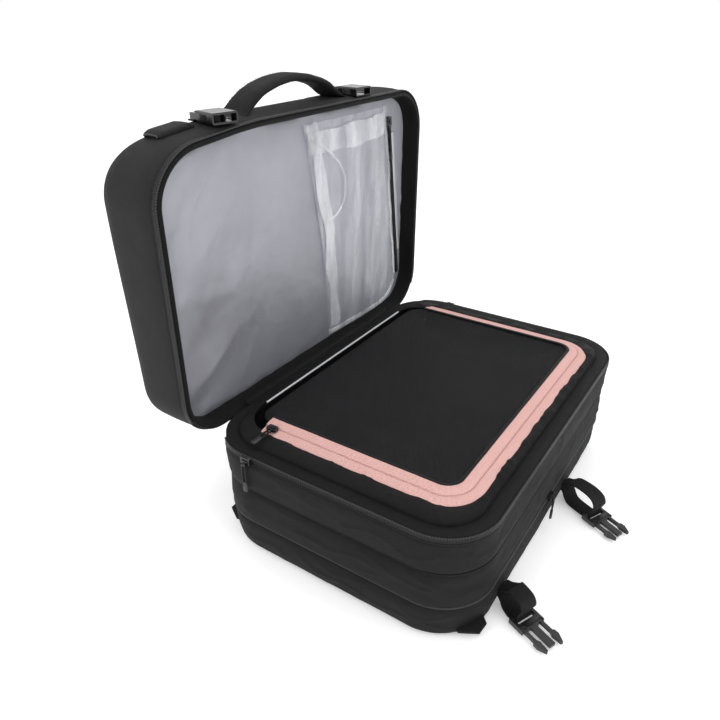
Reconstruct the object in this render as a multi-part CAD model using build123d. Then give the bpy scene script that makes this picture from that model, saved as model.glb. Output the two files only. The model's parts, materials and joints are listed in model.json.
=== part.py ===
"""A clamshell travel backpack, lying on its back panel with its lid standing open.

Frame: +Z up, +X from the lid's hinge towards the buckle side, +Y from the pack's base to its top.
The origin is the centre of the face that the back rests on. Millimetres.
The lid's pieces are drawn closed, on top of the body, and then turned open about the hinge.
"""

import os

from build123d import *

os.makedirs("parts", exist_ok=True)

# ---- driving dimensions -------------------------------------------------------------------------
HALF_X, HALF_Y = 154.0, 222.0  # body at the main zip, from the centre to its side and to its end
CORNER = 56.0  # corner radius of the body in plan
WALL = 3.0  # foam-backed side fabric
LOW_HALF = (HALF_X - 4, HALF_Y - 8)  # the wall's three storeys grow a little upwards
MIDDLE_HALF = (HALF_X - 1, HALF_Y - 3)

PAD_TOP_Z = 12.0  # contact pads, then the padded back panel above them
PANEL_TOP_Z = 18.0
SHEET_TOP_Z = 20.0  # frame sheet, which is the floor of the laptop sleeve
LAPTOP_SEAM_Z = 41.0
DIVIDER_Z = (50.0, 56.0)
PIPING_SEAM_Z = 86.0
RIM_Z = 131.5  # plane where body and lid meet
DOME_Z = 138.0  # top of the soft border inside the main zip
LIP = 9.0  # flat lip inside the main zip, on body and lid
LIP_GAP = 6.0  # room beside the body's border for the lid's skirt
CROWN_R = 8.0  # rounding of the border's outer edge
TAPE = 1.5  # thickness of zip tape, and how far it stands out of the wall
MESH_TAPE = 10.5  # width of each half of the mesh cover's zip tape
MESH_LOW_X, MESH_HIGH_X = -136.0, 127.0  # the mesh cover's opening
MESH_HALF_Y, MESH_CORNER = HALF_Y - 37, 36.0
MESH_MID = ((MESH_LOW_X + MESH_HIGH_X) / 2, 0.0)
MESH_HALF = ((MESH_HIGH_X - MESH_LOW_X) / 2, MESH_HALF_Y)
MESH_ZIP_START_X = MESH_LOW_X + MESH_CORNER - 4  # the cover's zip leaves the hinge side out
FLAP_GAP = 0.4  # between the two halves of the mesh cover's zip
FLAP_HINGE_X, FLAP_HINGE_Z, FLAP_BINDING_R = MESH_LOW_X + 2.2, DOME_Z - 0.75, 1.2
FLAP_HINGE_HALF = MESH_HALF_Y - MESH_CORNER - 6

LID_OPEN = 90.0  # how far the lid stands open at rest, in degrees from closed
LID_LOW_X, LID_HIGH_X = -154.0, 150.0
LID_MID_X, LID_HALF_X = (LID_LOW_X + LID_HIGH_X) / 2, (LID_HIGH_X - LID_LOW_X) / 2
LID_MID_Y, LID_HALF_Y = -2.5, 231.0
LID_CORNERS = (50.0, 70.0)  # corner radius at the hinge side and at the buckle side
LID_RIM_Z = RIM_Z + 1.5  # a little above the body's rim, closed
LID_TOP_Z = LID_RIM_Z + 68.0
LID_FACE = 4.0
LINING_Z = LID_RIM_Z + 21.0
HINGE_X, HINGE_Z = -HALF_X + 3.5, RIM_Z - 6.0  # the lid turns about the middle of its cloth hinge
HINGE_HALF, HINGE_PIPING_R = 150.0, 1.5
HINGE_CLOTH_T = 1.2

WET_LEAN = 8.3  # the clear pocket leans by this angle, in degrees
WET_ZIP_FROM, WET_ZIP_TO = (112.0, 177.0), (-108.0, 209.0)  # closed, in X and Y
FRONT_ZIP_X, FRONT_ZIP_HALF = 76.0, 170.0

WEBBING_W, WEBBING_T = 20.0, 2.0
BUCKLE_W, BUCKLE_BAR_R = 29.0, 1.9
ARM_W = 3.6  # the arms that hold a buckle's bar
STRAPS = {"near": (-137.0, -24.0, 25.0), "far": (54.0, -26.0, 42.0)}  # root Y, turn about Z, reach to the bar
STRAP_ROOT_X, STRAP_ROOT_Z = HALF_X + 4.5, 20.0
BAR_Z = 5.0  # height of the male buckle's bar where the strap lies
PRONG_ROOT = (17.5, 10.6)
FEMALE_Y = {"near": -126.0, "far": 102.0}
FEMALE_TURN = {"near": -12.0, "far": -4.0}
FEMALE_BAR_X = -200.0
FEMALE_RISE = 7.0  # bar above the lid's wall

HANDLE_Y, HANDLE_HALF, HANDLE_RISE, HANDLE_W, HANDLE_T = -8.0, 88.0, 30.0, 38.0, 6.0
HANDLE_DEPTH = 37.0  # middle of the side handle behind the lid's rim
TOP_HANDLE_HALF, TOP_HANDLE_RISE, TOP_HANDLE_W, TOP_HANDLE_T = 70.0, 30.0, 25.0, 5.0
TOP_HANDLE_Z = (LAPTOP_SEAM_Z + PIPING_SEAM_Z) / 2
ANCHOR_T = 1.3
KEEPER_Y, KEEPER_DEPTH, KEEPER_T = (-190.0, -148.0), (-36.0, -10.0), 7.0  # depth is from the lid's face

PAD_X = (84.0, 136.0)  # side pads
SHOULDER_X, SHOULDER_W = 47.0, 58.0
SHOULDER_Y = (-58.0, 188.0)
WING_POINT = (140.0, -172.0)
LOCK_REACH = 26.0  # from the shoulder strap's end to its adjuster

MAIN_SLIDER_X = -92.0
MESH_SLIDER_X = -92.0
LAPTOP_SLIDER_Y = -8.0
FRONT_SLIDER_Y = 150.0


# ---- shared shapes ------------------------------------------------------------------------------
def slab(half_x, half_y, radius, low, high, centre=(0.0, 0.0)):
    """A rounded rectangle in plan, from height low to high."""
    outline = RectangleRounded(2 * half_x, 2 * half_y, radius)
    return Pos(*centre, low) * extrude(outline, high - low)


def ring(half_x, half_y, radius, width, low, high, centre=(0.0, 0.0)):
    """A rounded rectangular band that is width wide in plan."""
    hole = slab(half_x - width, half_y - width, max(radius - width, 4.0), low - 1, high + 1, centre)
    return slab(half_x, half_y, radius, low, high, centre) - hole


def block(x0, x1, y0, y1, z0, z1):
    """A box from its corners."""
    return Pos((x0 + x1) / 2, (y0 + y1) / 2, (z0 + z1) / 2) * Box(x1 - x0, y1 - y0, z1 - z0)


def rod_x(radius, length):
    """A cylinder along X through the origin."""
    return Rot(0, 90, 0) * Cylinder(radius, length)


def rod_y(radius, length, x=0.0, z=0.0):
    """A cylinder along Y."""
    return Pos(x, 0, z) * Rot(90, 0, 0) * Cylinder(radius, length)


def opened(shape):
    """Turns a piece of the closed lid to where it stands at rest."""
    return Pos(HINGE_X, 0, HINGE_Z) * Rot(0, -LID_OPEN, 0) * Pos(-HINGE_X, 0, -HINGE_Z) * shape


def open_at_hinge(shape, cut_x):
    """Leaves the hinge side out of a band, so that it runs round three sides."""
    return shape - block(-400, cut_x, -400, 400, -50, 300)


def strip(points, radius, width=WEBBING_W, thickness=WEBBING_T):
    """A flat strap along a bent line in XZ, its width along Y."""
    path = FilletPolyline(*points, radius=radius)
    face = trace(path, thickness)
    return Pos(0, width / 2, 0) * Rot(90, 0, 0) * extrude(face, width)


def both_sides(shape):
    """A piece on the +X side and its mirror image on the other, as one node."""
    return Compound(children=[shape, mirror(shape, Plane.YZ)])


# ---- body ---------------------------------------------------------------------------------------
def back_pads():
    """Foam pads that the pack rests on: two sides, the spine and the lumbar pad."""
    side_w = PAD_X[1] - PAD_X[0]
    sides = [Pos(s * sum(PAD_X) / 2, 70, 0) * extrude(RectangleRounded(side_w, 250, 14), PAD_TOP_Z) for s in (-1, 1)]
    spine = Pos(0, 40, 0) * extrude(RectangleRounded(24, 290, 9), PAD_TOP_Z)
    lumbar = Pos(0, -162, 0) * extrude(RectangleRounded(150, 78, 16), PAD_TOP_Z)
    return Compound(children=[*sides, spine, lumbar])


def band(half, low, high):
    """One storey of the body's side wall."""
    return ring(*half, CORNER, WALL, low, high)


def wall_tape(half, low, high):
    """Zip tape or piping that stands out of the wall at a seam."""
    return ring(half[0] + TAPE, half[1] + TAPE, CORNER + TAPE, TAPE, low, high)


def rim_border():
    """The soft border that rises from the lip to the mesh cover."""
    inset = LIP + LIP_GAP
    crown = slab(HALF_X - inset, HALF_Y - inset, CORNER - inset, RIM_Z - 3, DOME_Z)
    crown = fillet(crown.faces().sort_by(Axis.Z)[-1].edges(), CROWN_R)
    return crown - slab(*MESH_HALF, MESH_CORNER, RIM_Z - 4, DOME_Z + 1, MESH_MID)


def shoulder_strap(side):
    """A padded shoulder strap stowed flat against the back, between the pads."""
    length = SHOULDER_Y[1] - SHOULDER_Y[0]
    return Pos(side * SHOULDER_X, sum(SHOULDER_Y) / 2, 1.0) * extrude(
        RectangleRounded(SHOULDER_W, length, 20), PAD_TOP_Z - 1.5
    )


def strap_run():
    """The line from the +X shoulder strap's lower end to the wing: start, direction and angle about Z."""
    start = Vector(SHOULDER_X, SHOULDER_Y[0])
    direction = (Vector(*WING_POINT) - start).normalized()
    return start, direction, Vector(1, 0).get_signed_angle(direction, Vector(0, 0, 1))


def lower_webbing():
    """Webbing from a shoulder strap's adjuster to the wing at the pack's lower corner."""
    start, direction, angle = strap_run()
    begin = start + direction * (LOCK_REACH + 13)
    middle = (begin + Vector(*WING_POINT)) / 2
    length = (Vector(*WING_POINT) - begin).length
    return Pos(middle.X, middle.Y, 6.0) * Rot(0, 0, angle) * Box(length, WEBBING_W, WEBBING_T)


def ladder_lock():
    """Adjuster that joins a shoulder strap to its lower webbing."""
    start, direction, angle = strap_run()
    middle = start + direction * LOCK_REACH
    slots = [Pos(x, 0, 0) * Box(4.5, 22, 8) for x in (-6, 6)]
    frame = Box(25.8, 29, 5) - slots[0] - slots[1]
    return Pos(middle.X, middle.Y, 6.0) * Rot(0, 0, angle) * frame


def wing():
    """Triangular fabric wing that anchors the lower webbing at the side seam."""
    corners = [(132, -150), (158, -178), (157, -192), (140, -202), (118, -196)]
    return Pos(0, 0, 8.0) * extrude(make_face(Polyline(*corners, close=True)), 3.0, dir=(0, 0, 1))


def arch_handle(half_span, rise, width, thickness):
    """A strap arch that stands in X from x = 0, its ends at y = +-half_span and its width along Z.

    Its feet narrow to the line that it swings about.
    """
    foot = 22.0
    outer = ThreePointArc((0, -half_span), (rise, 0), (0, half_span))
    inner = ThreePointArc((0, half_span - foot), (rise - thickness, 0), (0, -half_span + foot))
    sides = [Line((0, s * half_span), (0, s * (half_span - foot))) for s in (-1, 1)]
    arch = Pos(0, 0, -width / 2) * extrude(make_face([outer, sides[0], inner, sides[1]]), width, dir=(0, 0, 1))
    taper = width / 2 * 0.62
    edge = [(0.4, 0.7), (taper, width / 2), (rise + 5, width / 2)]
    outline = Polyline(*edge, *[(x, -z) for x, z in reversed(edge)], close=True)
    wedge = Pos(0, half_span + 5, 0) * Rot(90, 0, 0) * extrude(make_face(outline), 2 * half_span + 10, dir=(0, 0, 1))
    return arch & wedge


# ---- buckles ------------------------------------------------------------------------------------
def strap_place(name):
    """Where a loose compression strap leaves the body, on the floor plane, and how it lies."""
    y, turn, _ = STRAPS[name]
    return Pos(STRAP_ROOT_X, y, 0) * Rot(0, 0, turn)


def compression_webbing(reach):
    """The doubled webbing between the body and the male buckle's bar, which is reach away."""
    loop_r = BUCKLE_BAR_R + 0.3 + WEBBING_T / 2
    lower = [(1.5, STRAP_ROOT_Z - 4), (11, BAR_Z - loop_r), (reach, BAR_Z - loop_r)]
    upper = [
        (reach, BAR_Z + loop_r),
        (reach + 8, BAR_Z + 14),
        (reach - 3, BAR_Z + 27),
        (12, BAR_Z + 27),
        (1.5, STRAP_ROOT_Z + 4),
    ]
    tube = rod_y(loop_r + WEBBING_T / 2, WEBBING_W) - rod_y(loop_r - WEBBING_T / 2, 40)
    turn = Pos(reach, 0, BAR_Z) * (tube & block(0, 10, -20, 20, -10, 10))
    root = block(0, 2.5, -WEBBING_W / 2, WEBBING_W / 2, STRAP_ROOT_Z - 5.5, STRAP_ROOT_Z + 5.5)
    return strip(lower, 4.0) + strip(upper, 4.0) + turn + root


def bar_frame(reach):
    """Two side arms with the round bar that webbing wraps, shared by both halves. The bar is at the origin."""
    inner, outer = BUCKLE_W / 2 - ARM_W, BUCKLE_W / 2
    arm = block(-3, reach, inner, outer, -2.8, 2.8)
    return arm + mirror(arm, Plane.XZ) + rod_y(BUCKLE_BAR_R, 2 * inner + 1)


def male_buckle():
    """Male half of the side-release buckle without its prongs: bar, base and centre tongue."""
    base = block(7, 15.5, -BUCKLE_W / 2, BUCKLE_W / 2, -2.8, 2.8)
    tongue = block(15.5, 40, -3.6, 3.6, -1.7, 1.7)
    shape = bar_frame(8) + base + tongue
    for side in (-1, 1):
        pocket = Cylinder(2.4, 10) + block(0, 4, -2.4, 2.4, -5, 5)
        shape -= Pos(PRONG_ROOT[0] - 3.2, side * PRONG_ROOT[1], 0) * pocket
    return shape


def buckle_prong(side):
    """One spring prong of the male half, with its barbed head. It swings about its round root."""
    x, y = PRONG_ROOT[0] - 3.2, PRONG_ROOT[1]
    stem = block(x, 29, y - 1.6, y + 1.6, -1.9, 1.9)
    corners = [(28, y - 1.6), (32, 7.4), (42, 8.4), (43, 10.4), (34, 14.4), (29, 14.0), (28, y + 1.6)]
    head = Pos(0, 0, -1.9) * extrude(make_face(Polyline(*corners, close=True)), 3.8, dir=(0, 0, 1))
    shape = stem + head + Pos(x, y, 0) * Cylinder(1.9, 3.8)
    return shape if side > 0 else mirror(shape, Plane.XZ)


def female_buckle():
    """Female half: a flat shell with a mouth at its front and a release window in each side."""
    shell = fillet(block(7.5, 35, -BUCKLE_W / 2, BUCKLE_W / 2, -5.3, 5.3).edges().filter_by(Axis.X), 2.6)
    shell -= block(10.5, 40, -12.6, 12.6, -3.4, 3.4)
    shell -= block(14, 26, -20, 20, -2.8, 2.8)
    return bar_frame(8) + shell


def female_place(name):
    """Where a female buckle's bar is, at rest, above the lid's upper wall."""
    height = HINGE_Z + (LID_HIGH_X - HINGE_X) + FEMALE_RISE
    return Pos(FEMALE_BAR_X, FEMALE_Y[name], height) * Rot(0, 0, FEMALE_TURN[name])


def female_webbing():
    """Webbing on the lid's wall that rises and wraps the female buckle's bar, which is at the origin."""
    inner = BUCKLE_BAR_R + 0.35
    half = WEBBING_W / 2
    loop = rod_y(inner + 1.8, WEBBING_W) - rod_y(inner, 40)
    foot = block(-14, 5.5, -half, half, -FEMALE_RISE + 0.1, -FEMALE_RISE + 1.7)
    neck = block(-3.6, 3.6, -half, half, -FEMALE_RISE + 1, -2.0) - rod_y(inner + 0.4, 40)
    return loop + foot + neck


# ---- zip sliders --------------------------------------------------------------------------------
def slider():
    """A zip slider whose tape lies in XY: body 12 long in X, 8 wide in Y, its foot at z = 0."""
    stand = (Align.CENTER, Align.CENTER, Align.MIN)
    body = fillet(Box(12, 8, 3.2, align=stand).edges().filter_by(Axis.Z), 2.0)
    return body + Pos(0, 0, 3.2) * Box(7, 2.4, 1.0, align=stand)


def pull(length):
    """A zip pull that hangs in -Y from a pivot at the origin, with a slot for its cord."""
    plate = fillet(block(-3.5, 3.5, -length, -0.5, -0.7, 0.7).edges().filter_by(Axis.Z), 2.0)
    slot = Pos(0, -length / 2 - 2, 0) * Box(3, length - 14, 3)
    return plate - slot + rod_x(1.5, 5.0)


SIDE_PIVOT = Pos(0, -5.8, 1.6)  # a pull that lies flat beside its slider
TOP_PIVOT = Pos(0, -3.2, 5.2)  # a pull that hangs in front of its slider
END_PIVOT = Pos(-7.8, 0, 1.6) * Rot(0, 0, -90)  # a pull that lies beyond its slider's end


def slider_places():
    """Where each slider is, in the closed pack."""
    main_y = HALF_Y + TAPE + 0.3
    laptop_x = MIDDLE_HALF[0] + TAPE + 0.3
    near = Pos(MAIN_SLIDER_X, -main_y, RIM_Z - 4.2) * Rot(90, 0, 0)
    far = Pos(MAIN_SLIDER_X, main_y, RIM_Z - 4.2) * Rot(0, 0, 180) * Rot(90, 0, 0)
    mesh = Pos(MESH_SLIDER_X, -(MESH_HALF[1] - 2.3), DOME_Z + TAPE + 0.2)
    laptop = Pos(laptop_x, LAPTOP_SLIDER_Y, LAPTOP_SEAM_Z + 2.6) * Rot(0, 0, 90) * Rot(90, 0, 0)
    wet = Pos(*WET_ZIP_FROM, LINING_Z - TAPE - 0.2) * Rot(0, 0, -WET_LEAN) * Rot(180, 0, 0)
    front = Pos(FRONT_ZIP_X, FRONT_SLIDER_Y, LID_TOP_Z + TAPE + 0.2) * Rot(0, 0, 90)
    return {
        "main_near": (near, TOP_PIVOT, 34),
        "main_far": (far, TOP_PIVOT, 34),
        "mesh": (mesh, SIDE_PIVOT, 26),
        "laptop": (laptop, TOP_PIVOT, 28),
        "wet_pocket": (opened(wet), END_PIVOT, 44),
        "front_pocket": (opened(front), Rot(0, 0, 180) * SIDE_PIVOT, 30),
    }


# ---- nodes --------------------------------------------------------------------------------------
def body_nodes():
    """The body's own pieces and the top handle."""
    floor_half = (LOW_HALF[0] - WALL - 0.5, LOW_HALF[1] - WALL - 0.5)
    tape_half = (MESH_HALF[0] + 4, MESH_HALF[1] + 4)
    tape = ring(*tape_half, MESH_CORNER + 4, MESH_TAPE, DOME_Z, DOME_Z + TAPE, MESH_MID)
    handle_wall = MIDDLE_HALF[1]
    piping_z = HINGE_Z - 9.5
    piping = rod_y(HINGE_PIPING_R, 2 * HINGE_HALF, -HALF_X - HINGE_PIPING_R - 0.1, piping_z)
    hinge_strip = block(-HALF_X - HINGE_CLOTH_T, -HALF_X, -HINGE_HALF, HINGE_HALF, piping_z - 9, piping_z)
    flap_strip = block(
        MESH_LOW_X, FLAP_HINGE_X, -FLAP_HINGE_HALF, FLAP_HINGE_HALF, DOME_Z - 1.9, DOME_Z - 1.2
    )
    anchor = block(50, 78, handle_wall, handle_wall + ANCHOR_T, TOP_HANDLE_Z - 13, TOP_HANDLE_Z + 13)
    return {
        "back_pads": back_pads(),
        "back_panel": slab(*LOW_HALF, CORNER, PAD_TOP_Z, PANEL_TOP_Z),
        "frame_sheet": slab(*floor_half, CORNER - WALL, PANEL_TOP_Z, SHEET_TOP_Z),
        "lower_band": band(LOW_HALF, PANEL_TOP_Z, LAPTOP_SEAM_Z),
        "middle_band": band(MIDDLE_HALF, LAPTOP_SEAM_Z, PIPING_SEAM_Z),
        "upper_band": band((HALF_X, HALF_Y), PIPING_SEAM_Z, RIM_Z - 3),
        "laptop_divider": slab(*floor_half, CORNER - WALL, *DIVIDER_Z),
        "main_liner": ring(HALF_X - 5, HALF_Y - 7, CORNER - 5, 1.2, DIVIDER_Z[1], RIM_Z - 3),
        "rim_lip": ring(HALF_X, HALF_Y, CORNER, LIP + LIP_GAP, RIM_Z - 3, RIM_Z),
        "rim_border": rim_border(),
        "laptop_zip_tape": open_at_hinge(
            wall_tape(MIDDLE_HALF, LAPTOP_SEAM_Z + 0.2, LAPTOP_SEAM_Z + 5), -MIDDLE_HALF[0]
        ),
        "gusset_piping": wall_tape(MIDDLE_HALF, PIPING_SEAM_Z - 5, PIPING_SEAM_Z - 0.2),
        "main_zip_tape_body": open_at_hinge(wall_tape((HALF_X, HALF_Y), RIM_Z - 6, RIM_Z), -HALF_X + 22),
        "mesh_zip_tape_body": open_at_hinge(tape, MESH_ZIP_START_X),
        "hinge_piping": piping + hinge_strip,
        "flap_hinge_binding": rod_y(FLAP_BINDING_R, 2 * FLAP_HINGE_HALF, FLAP_HINGE_X, FLAP_HINGE_Z) + flap_strip,
        "shoulder_strap_left": shoulder_strap(-1),
        "shoulder_strap_right": shoulder_strap(1),
        "strap_lower_webbing": both_sides(lower_webbing()),
        "strap_ladder_locks": both_sides(ladder_lock()),
        "strap_wings": both_sides(wing()),
        "top_handle": Pos(0, handle_wall + ANCHOR_T, TOP_HANDLE_Z)
        * Rot(0, 0, 90)
        * arch_handle(TOP_HANDLE_HALF, TOP_HANDLE_RISE, TOP_HANDLE_W, TOP_HANDLE_T),
        "top_handle_anchors": both_sides(anchor),
    }


def flap_nodes():
    """The mesh cover and its half of the zip, closed. Its tape overhangs the panel's edge."""
    inset = MESH_TAPE - 4 + FLAP_GAP
    half = (MESH_HALF[0] - inset, MESH_HALF[1] - inset)
    corner = MESH_CORNER - inset
    tape = ring(*half, corner, MESH_TAPE, DOME_Z, DOME_Z + TAPE, MESH_MID)
    panel = slab(half[0] - 3, half[1] - 3, corner - 3, DOME_Z - 1.5, DOME_Z, MESH_MID)
    joint_x = FLAP_HINGE_X + FLAP_BINDING_R + 0.3
    tongue_half = FLAP_HINGE_HALF - 1
    tongue = block(joint_x, MESH_ZIP_START_X, -tongue_half, tongue_half, DOME_Z - 1.5, DOME_Z)
    return {
        "mesh_panel": panel + tongue,
        "mesh_zip_tape_flap": open_at_hinge(tape, MESH_ZIP_START_X),
    }


def lid_slab(inset, low, high):
    """A slab that follows the lid's outline, inset from it. Its corners are rounder at the buckle side."""
    outline = Rectangle(2 * (LID_HALF_X - inset), 2 * (LID_HALF_Y - inset))
    for side, radius in zip((0, -1), LID_CORNERS):
        outline = fillet(outline.vertices().group_by(Axis.X)[side], radius - inset)
    return Pos(LID_MID_X, LID_MID_Y, low) * extrude(outline, high - low)


def lid_band(inset, width, low, high):
    """A band that follows the lid's outline, inset from it."""
    return lid_slab(inset, low, high) - lid_slab(inset + width, low - 1, high + 1)


def wet_pocket_film():
    """The clear sheet of the wet pocket, from its welded edge to its zip."""
    start, end = WET_ZIP_FROM, WET_ZIP_TO
    zip_edge = [(start[0] + 12, start[1] - 7), (end[0], end[1] - 6)]
    corners = [*zip_edge, (end[0] - 22, end[1] - 22), (end[0] - 30, end[1] - 48), (end[0] - 30, 34), (start[0] + 12, -2)]
    sheet = extrude(make_face(Polyline(*corners, close=True)), 0.8, dir=(0, 0, 1))
    return Pos(0, 0, LINING_Z - 0.8) * sheet


def lid_nodes():
    """The lid's pieces as they lie when it is closed."""
    face = lid_slab(0, LID_TOP_Z - LID_FACE, LID_TOP_Z)
    face = fillet(face.faces().sort_by(Axis.Z)[-1].edges(), 3.5)
    handle_z = LID_RIM_Z + HANDLE_DEPTH
    anchor = block(LID_HIGH_X, LID_HIGH_X + ANCHOR_T, -18, 18, handle_z - 22, handle_z + 22)
    anchor_reach = HANDLE_HALF - 12
    wet_middle = [(a + b) / 2 for a, b in zip(WET_ZIP_FROM, WET_ZIP_TO)]
    keeper = lid_band(-KEEPER_T, KEEPER_T, *(LID_TOP_Z + depth for depth in KEEPER_DEPTH))
    return {
        "lid_face": face,
        "lid_wall": lid_band(0, WALL, LID_RIM_Z + 3, LID_TOP_Z - LID_FACE),
        "lid_rim_band": lid_band(0, LIP, LID_RIM_Z, LID_RIM_Z + 3)
        + lid_band(LIP - 2, 2, LID_RIM_Z, LINING_Z),
        "lid_lining": lid_slab(LIP - 2, LINING_Z, LINING_Z + 1.5),
        "main_zip_tape_lid": open_at_hinge(lid_band(-TAPE, TAPE, LID_RIM_Z, LID_RIM_Z + 6), LID_LOW_X + 26),
        "wet_pocket_film": wet_pocket_film(),
        "wet_pocket_zip_tape": Pos(*wet_middle, LINING_Z - TAPE / 2) * Rot(0, 0, -WET_LEAN) * Box(220, 8, TAPE),
        "side_handle": Pos(LID_HIGH_X + ANCHOR_T, HANDLE_Y, handle_z)
        * arch_handle(HANDLE_HALF, HANDLE_RISE, HANDLE_W, HANDLE_T),
        "side_handle_anchors": Compound(
            children=[Pos(0, HANDLE_Y + s * anchor_reach, 0) * anchor for s in (-1, 1)]
        ),
        "strap_keeper": keeper & block(0, 400, *KEEPER_Y, LID_RIM_Z, LID_TOP_Z),
        "front_zip_tape": block(
            FRONT_ZIP_X - 6, FRONT_ZIP_X + 6, -FRONT_ZIP_HALF, FRONT_ZIP_HALF, LID_TOP_Z, LID_TOP_Z + TAPE
        ),
    }


def strap_nodes(name):
    """A compression strap: its doubled webbing and both halves of its buckle."""
    reach = STRAPS[name][2]
    place = strap_place(name)
    bar = place * Pos(reach, 0, BAR_Z)
    return {
        f"compression_webbing_{name}": place * compression_webbing(reach),
        f"male_buckle_{name}": bar * male_buckle(),
        f"buckle_prong_{name}_left": bar * buckle_prong(1),
        f"buckle_prong_{name}_right": bar * buckle_prong(-1),
        f"female_buckle_{name}": female_place(name) * female_buckle(),
        f"female_webbing_{name}": female_place(name) * female_webbing(),
    }


def slider_nodes():
    """Every slider and its pull."""
    nodes = {}
    for name, (place, pivot, length) in slider_places().items():
        nodes[f"{name}_slider"] = place * slider()
        nodes[f"{name}_pull"] = place * pivot * pull(length)
    return nodes


def main():
    """Writes one STEP file for each node."""
    nodes = body_nodes() | flap_nodes()
    nodes |= {name: opened(shape) for name, shape in lid_nodes().items()}
    for name in STRAPS:
        nodes |= strap_nodes(name)
    nodes |= slider_nodes()
    for name, shape in nodes.items():
        export_step(shape, f"parts/{name}.step")
    print(len(nodes), "nodes")


if __name__ == "__main__":
    main()
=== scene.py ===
"""A travel backpack lying open on its back panel: fabric, film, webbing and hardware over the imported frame.

Places are millimetres in the frame of the CAD model, and become metres when a mesh is made.
The lid's pieces are drawn closed, on top of the body, and then turned open about the hinge.
"""

import json
import math

import bpy
import numpy as np
from mathutils import Matrix, Vector, noise


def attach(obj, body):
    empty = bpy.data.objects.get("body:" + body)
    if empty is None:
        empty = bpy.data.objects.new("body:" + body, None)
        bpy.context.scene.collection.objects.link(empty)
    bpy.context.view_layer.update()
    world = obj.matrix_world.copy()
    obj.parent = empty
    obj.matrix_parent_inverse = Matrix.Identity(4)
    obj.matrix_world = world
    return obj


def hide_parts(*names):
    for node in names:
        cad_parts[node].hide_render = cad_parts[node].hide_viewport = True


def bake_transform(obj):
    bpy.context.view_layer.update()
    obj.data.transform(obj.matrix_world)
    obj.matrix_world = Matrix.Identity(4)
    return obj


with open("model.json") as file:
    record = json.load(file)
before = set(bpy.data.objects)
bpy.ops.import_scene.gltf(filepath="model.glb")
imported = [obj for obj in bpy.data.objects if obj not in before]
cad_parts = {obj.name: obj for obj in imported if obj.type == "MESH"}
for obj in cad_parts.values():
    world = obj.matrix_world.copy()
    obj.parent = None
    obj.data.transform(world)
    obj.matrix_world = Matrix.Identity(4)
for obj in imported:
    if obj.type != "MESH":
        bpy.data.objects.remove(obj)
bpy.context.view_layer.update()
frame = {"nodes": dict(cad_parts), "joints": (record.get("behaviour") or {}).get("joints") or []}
nodes = frame["nodes"]
joints = {joint["name"]: joint for joint in frame["joints"]}

MM = 0.001
LID_SAG, LID_DOME = 9.0, 10.0        # how far the open lid's near corner hangs down, and its edge swells out
LINING_REACH = 10.0                  # how far the satin may stand out and still clear the mesh cover

# ---- places shared with the CAD source -----------------------------------------------------------
HALF, CORNER = (154.0, 222.0), 56.0  # body at the main zip
LOW_HALF, MIDDLE_HALF = (150.0, 214.0), (153.0, 219.0)
PAD_TOP_Z, PANEL_TOP_Z = 12.0, 18.0
LAPTOP_SEAM_Z, DIVIDER_Z, PIPING_SEAM_Z, RIM_Z, DOME_Z = 41.0, (50.0, 56.0), 86.0, 131.5, 138.0
BORDER_INSET, TAPE, ZIP_TAPE_T = 15.0, 1.5, 1.5
MESH_LOW_X, MESH_HIGH_X, MESH_CORNER, MESH_TAPE = -136.0, 127.0, 36.0, 10.5
MESH_MID = ((MESH_LOW_X + MESH_HIGH_X) / 2, 0.0)
MESH_HALF = ((MESH_HIGH_X - MESH_LOW_X) / 2, HALF[1] - 37)
MESH_ZIP_START_X = MESH_LOW_X + MESH_CORNER - 4
TAPE_LEAN = 17.0  # the cover's zip follows the slope of the stuffed border, in degrees
FLAP_HINGE_X, FLAP_HINGE_HALF = MESH_LOW_X + 2.2, 143.0
LID_MID, LID_HALF = (-2.0, -2.5), (152.0, 231.0)
LID_CORNERS = np.array(((50.0, 50.0), (54.0, 52.0)))  # at the hinge side, then the buckle side: near and far
LID_RIM_Z, LINING_Z, LID_TOP_Z = RIM_Z + 1.5, RIM_Z + 22.5, RIM_Z + 69.5
HINGE_X, HINGE_Z, HINGE_HALF = -150.5, RIM_Z - 6.0, 150.0
LID_BACK_X, LID_FRONT_X = -154.0, 150.0
WET_ZIP_FROM, WET_ZIP_TO = (112.0, 177.0), (-108.0, 209.0)
FRONT_ZIP_X, FRONT_ZIP_HALF, FRONT_ZIP_Z = 76.0, 170.0, LID_TOP_Z + 1.7
WEBBING_W, WEBBING_T = 20.0, 2.0
STRAP_ROOT_X, BAR_Z = 158.5, 5.0
STRAPS = {"near": (-137.0, -24.0, 25.0), "far": (54.0, -26.0, 42.0)}  # root Y, turn about Z, reach to the bar
HANDLE_Y, HANDLE_HALF, HANDLE_RISE, HANDLE_W, HANDLE_T = -8.0, 88.0, 30.0, 38.0, 6.0
HANDLE_DEPTH, ANCHOR_T, HANDLE_UP = 37.0, 1.3, np.array((1, 0, 0))
HANDLE_X = HINGE_X - (LID_RIM_Z + HANDLE_DEPTH - HINGE_Z)  # with the lid open
LID_OPEN_TOP = HINGE_Z + (LID_FRONT_X - HINGE_X)
TOP_HANDLE_HALF, TOP_HANDLE_RISE, TOP_HANDLE_W, TOP_HANDLE_T, TOP_HANDLE_Z = 70.0, 30.0, 25.0, 5.0, 63.5
SHOULDER_X, SHOULDER_Y, WING_POINT = 47.0, (-58.0, 188.0), (140.0, -172.0)
LOCK_REACH = 26.0
BACK_PADS = (  # centre, half size and corner radius of each contact pad: two sides, spine, lumbar
    ((110, 70), (26, 125), 14), ((-110, 70), (26, 125), 14),
    ((0, 40), (12, 145), 9), ((0, -162), (75, 39), 16),
)
CLOTH_FRAMES, CLOTH_PRESSURE, PAD_CAP, SHOULDER_CAP = 20, 4.0, 1.6, 1.2
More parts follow.
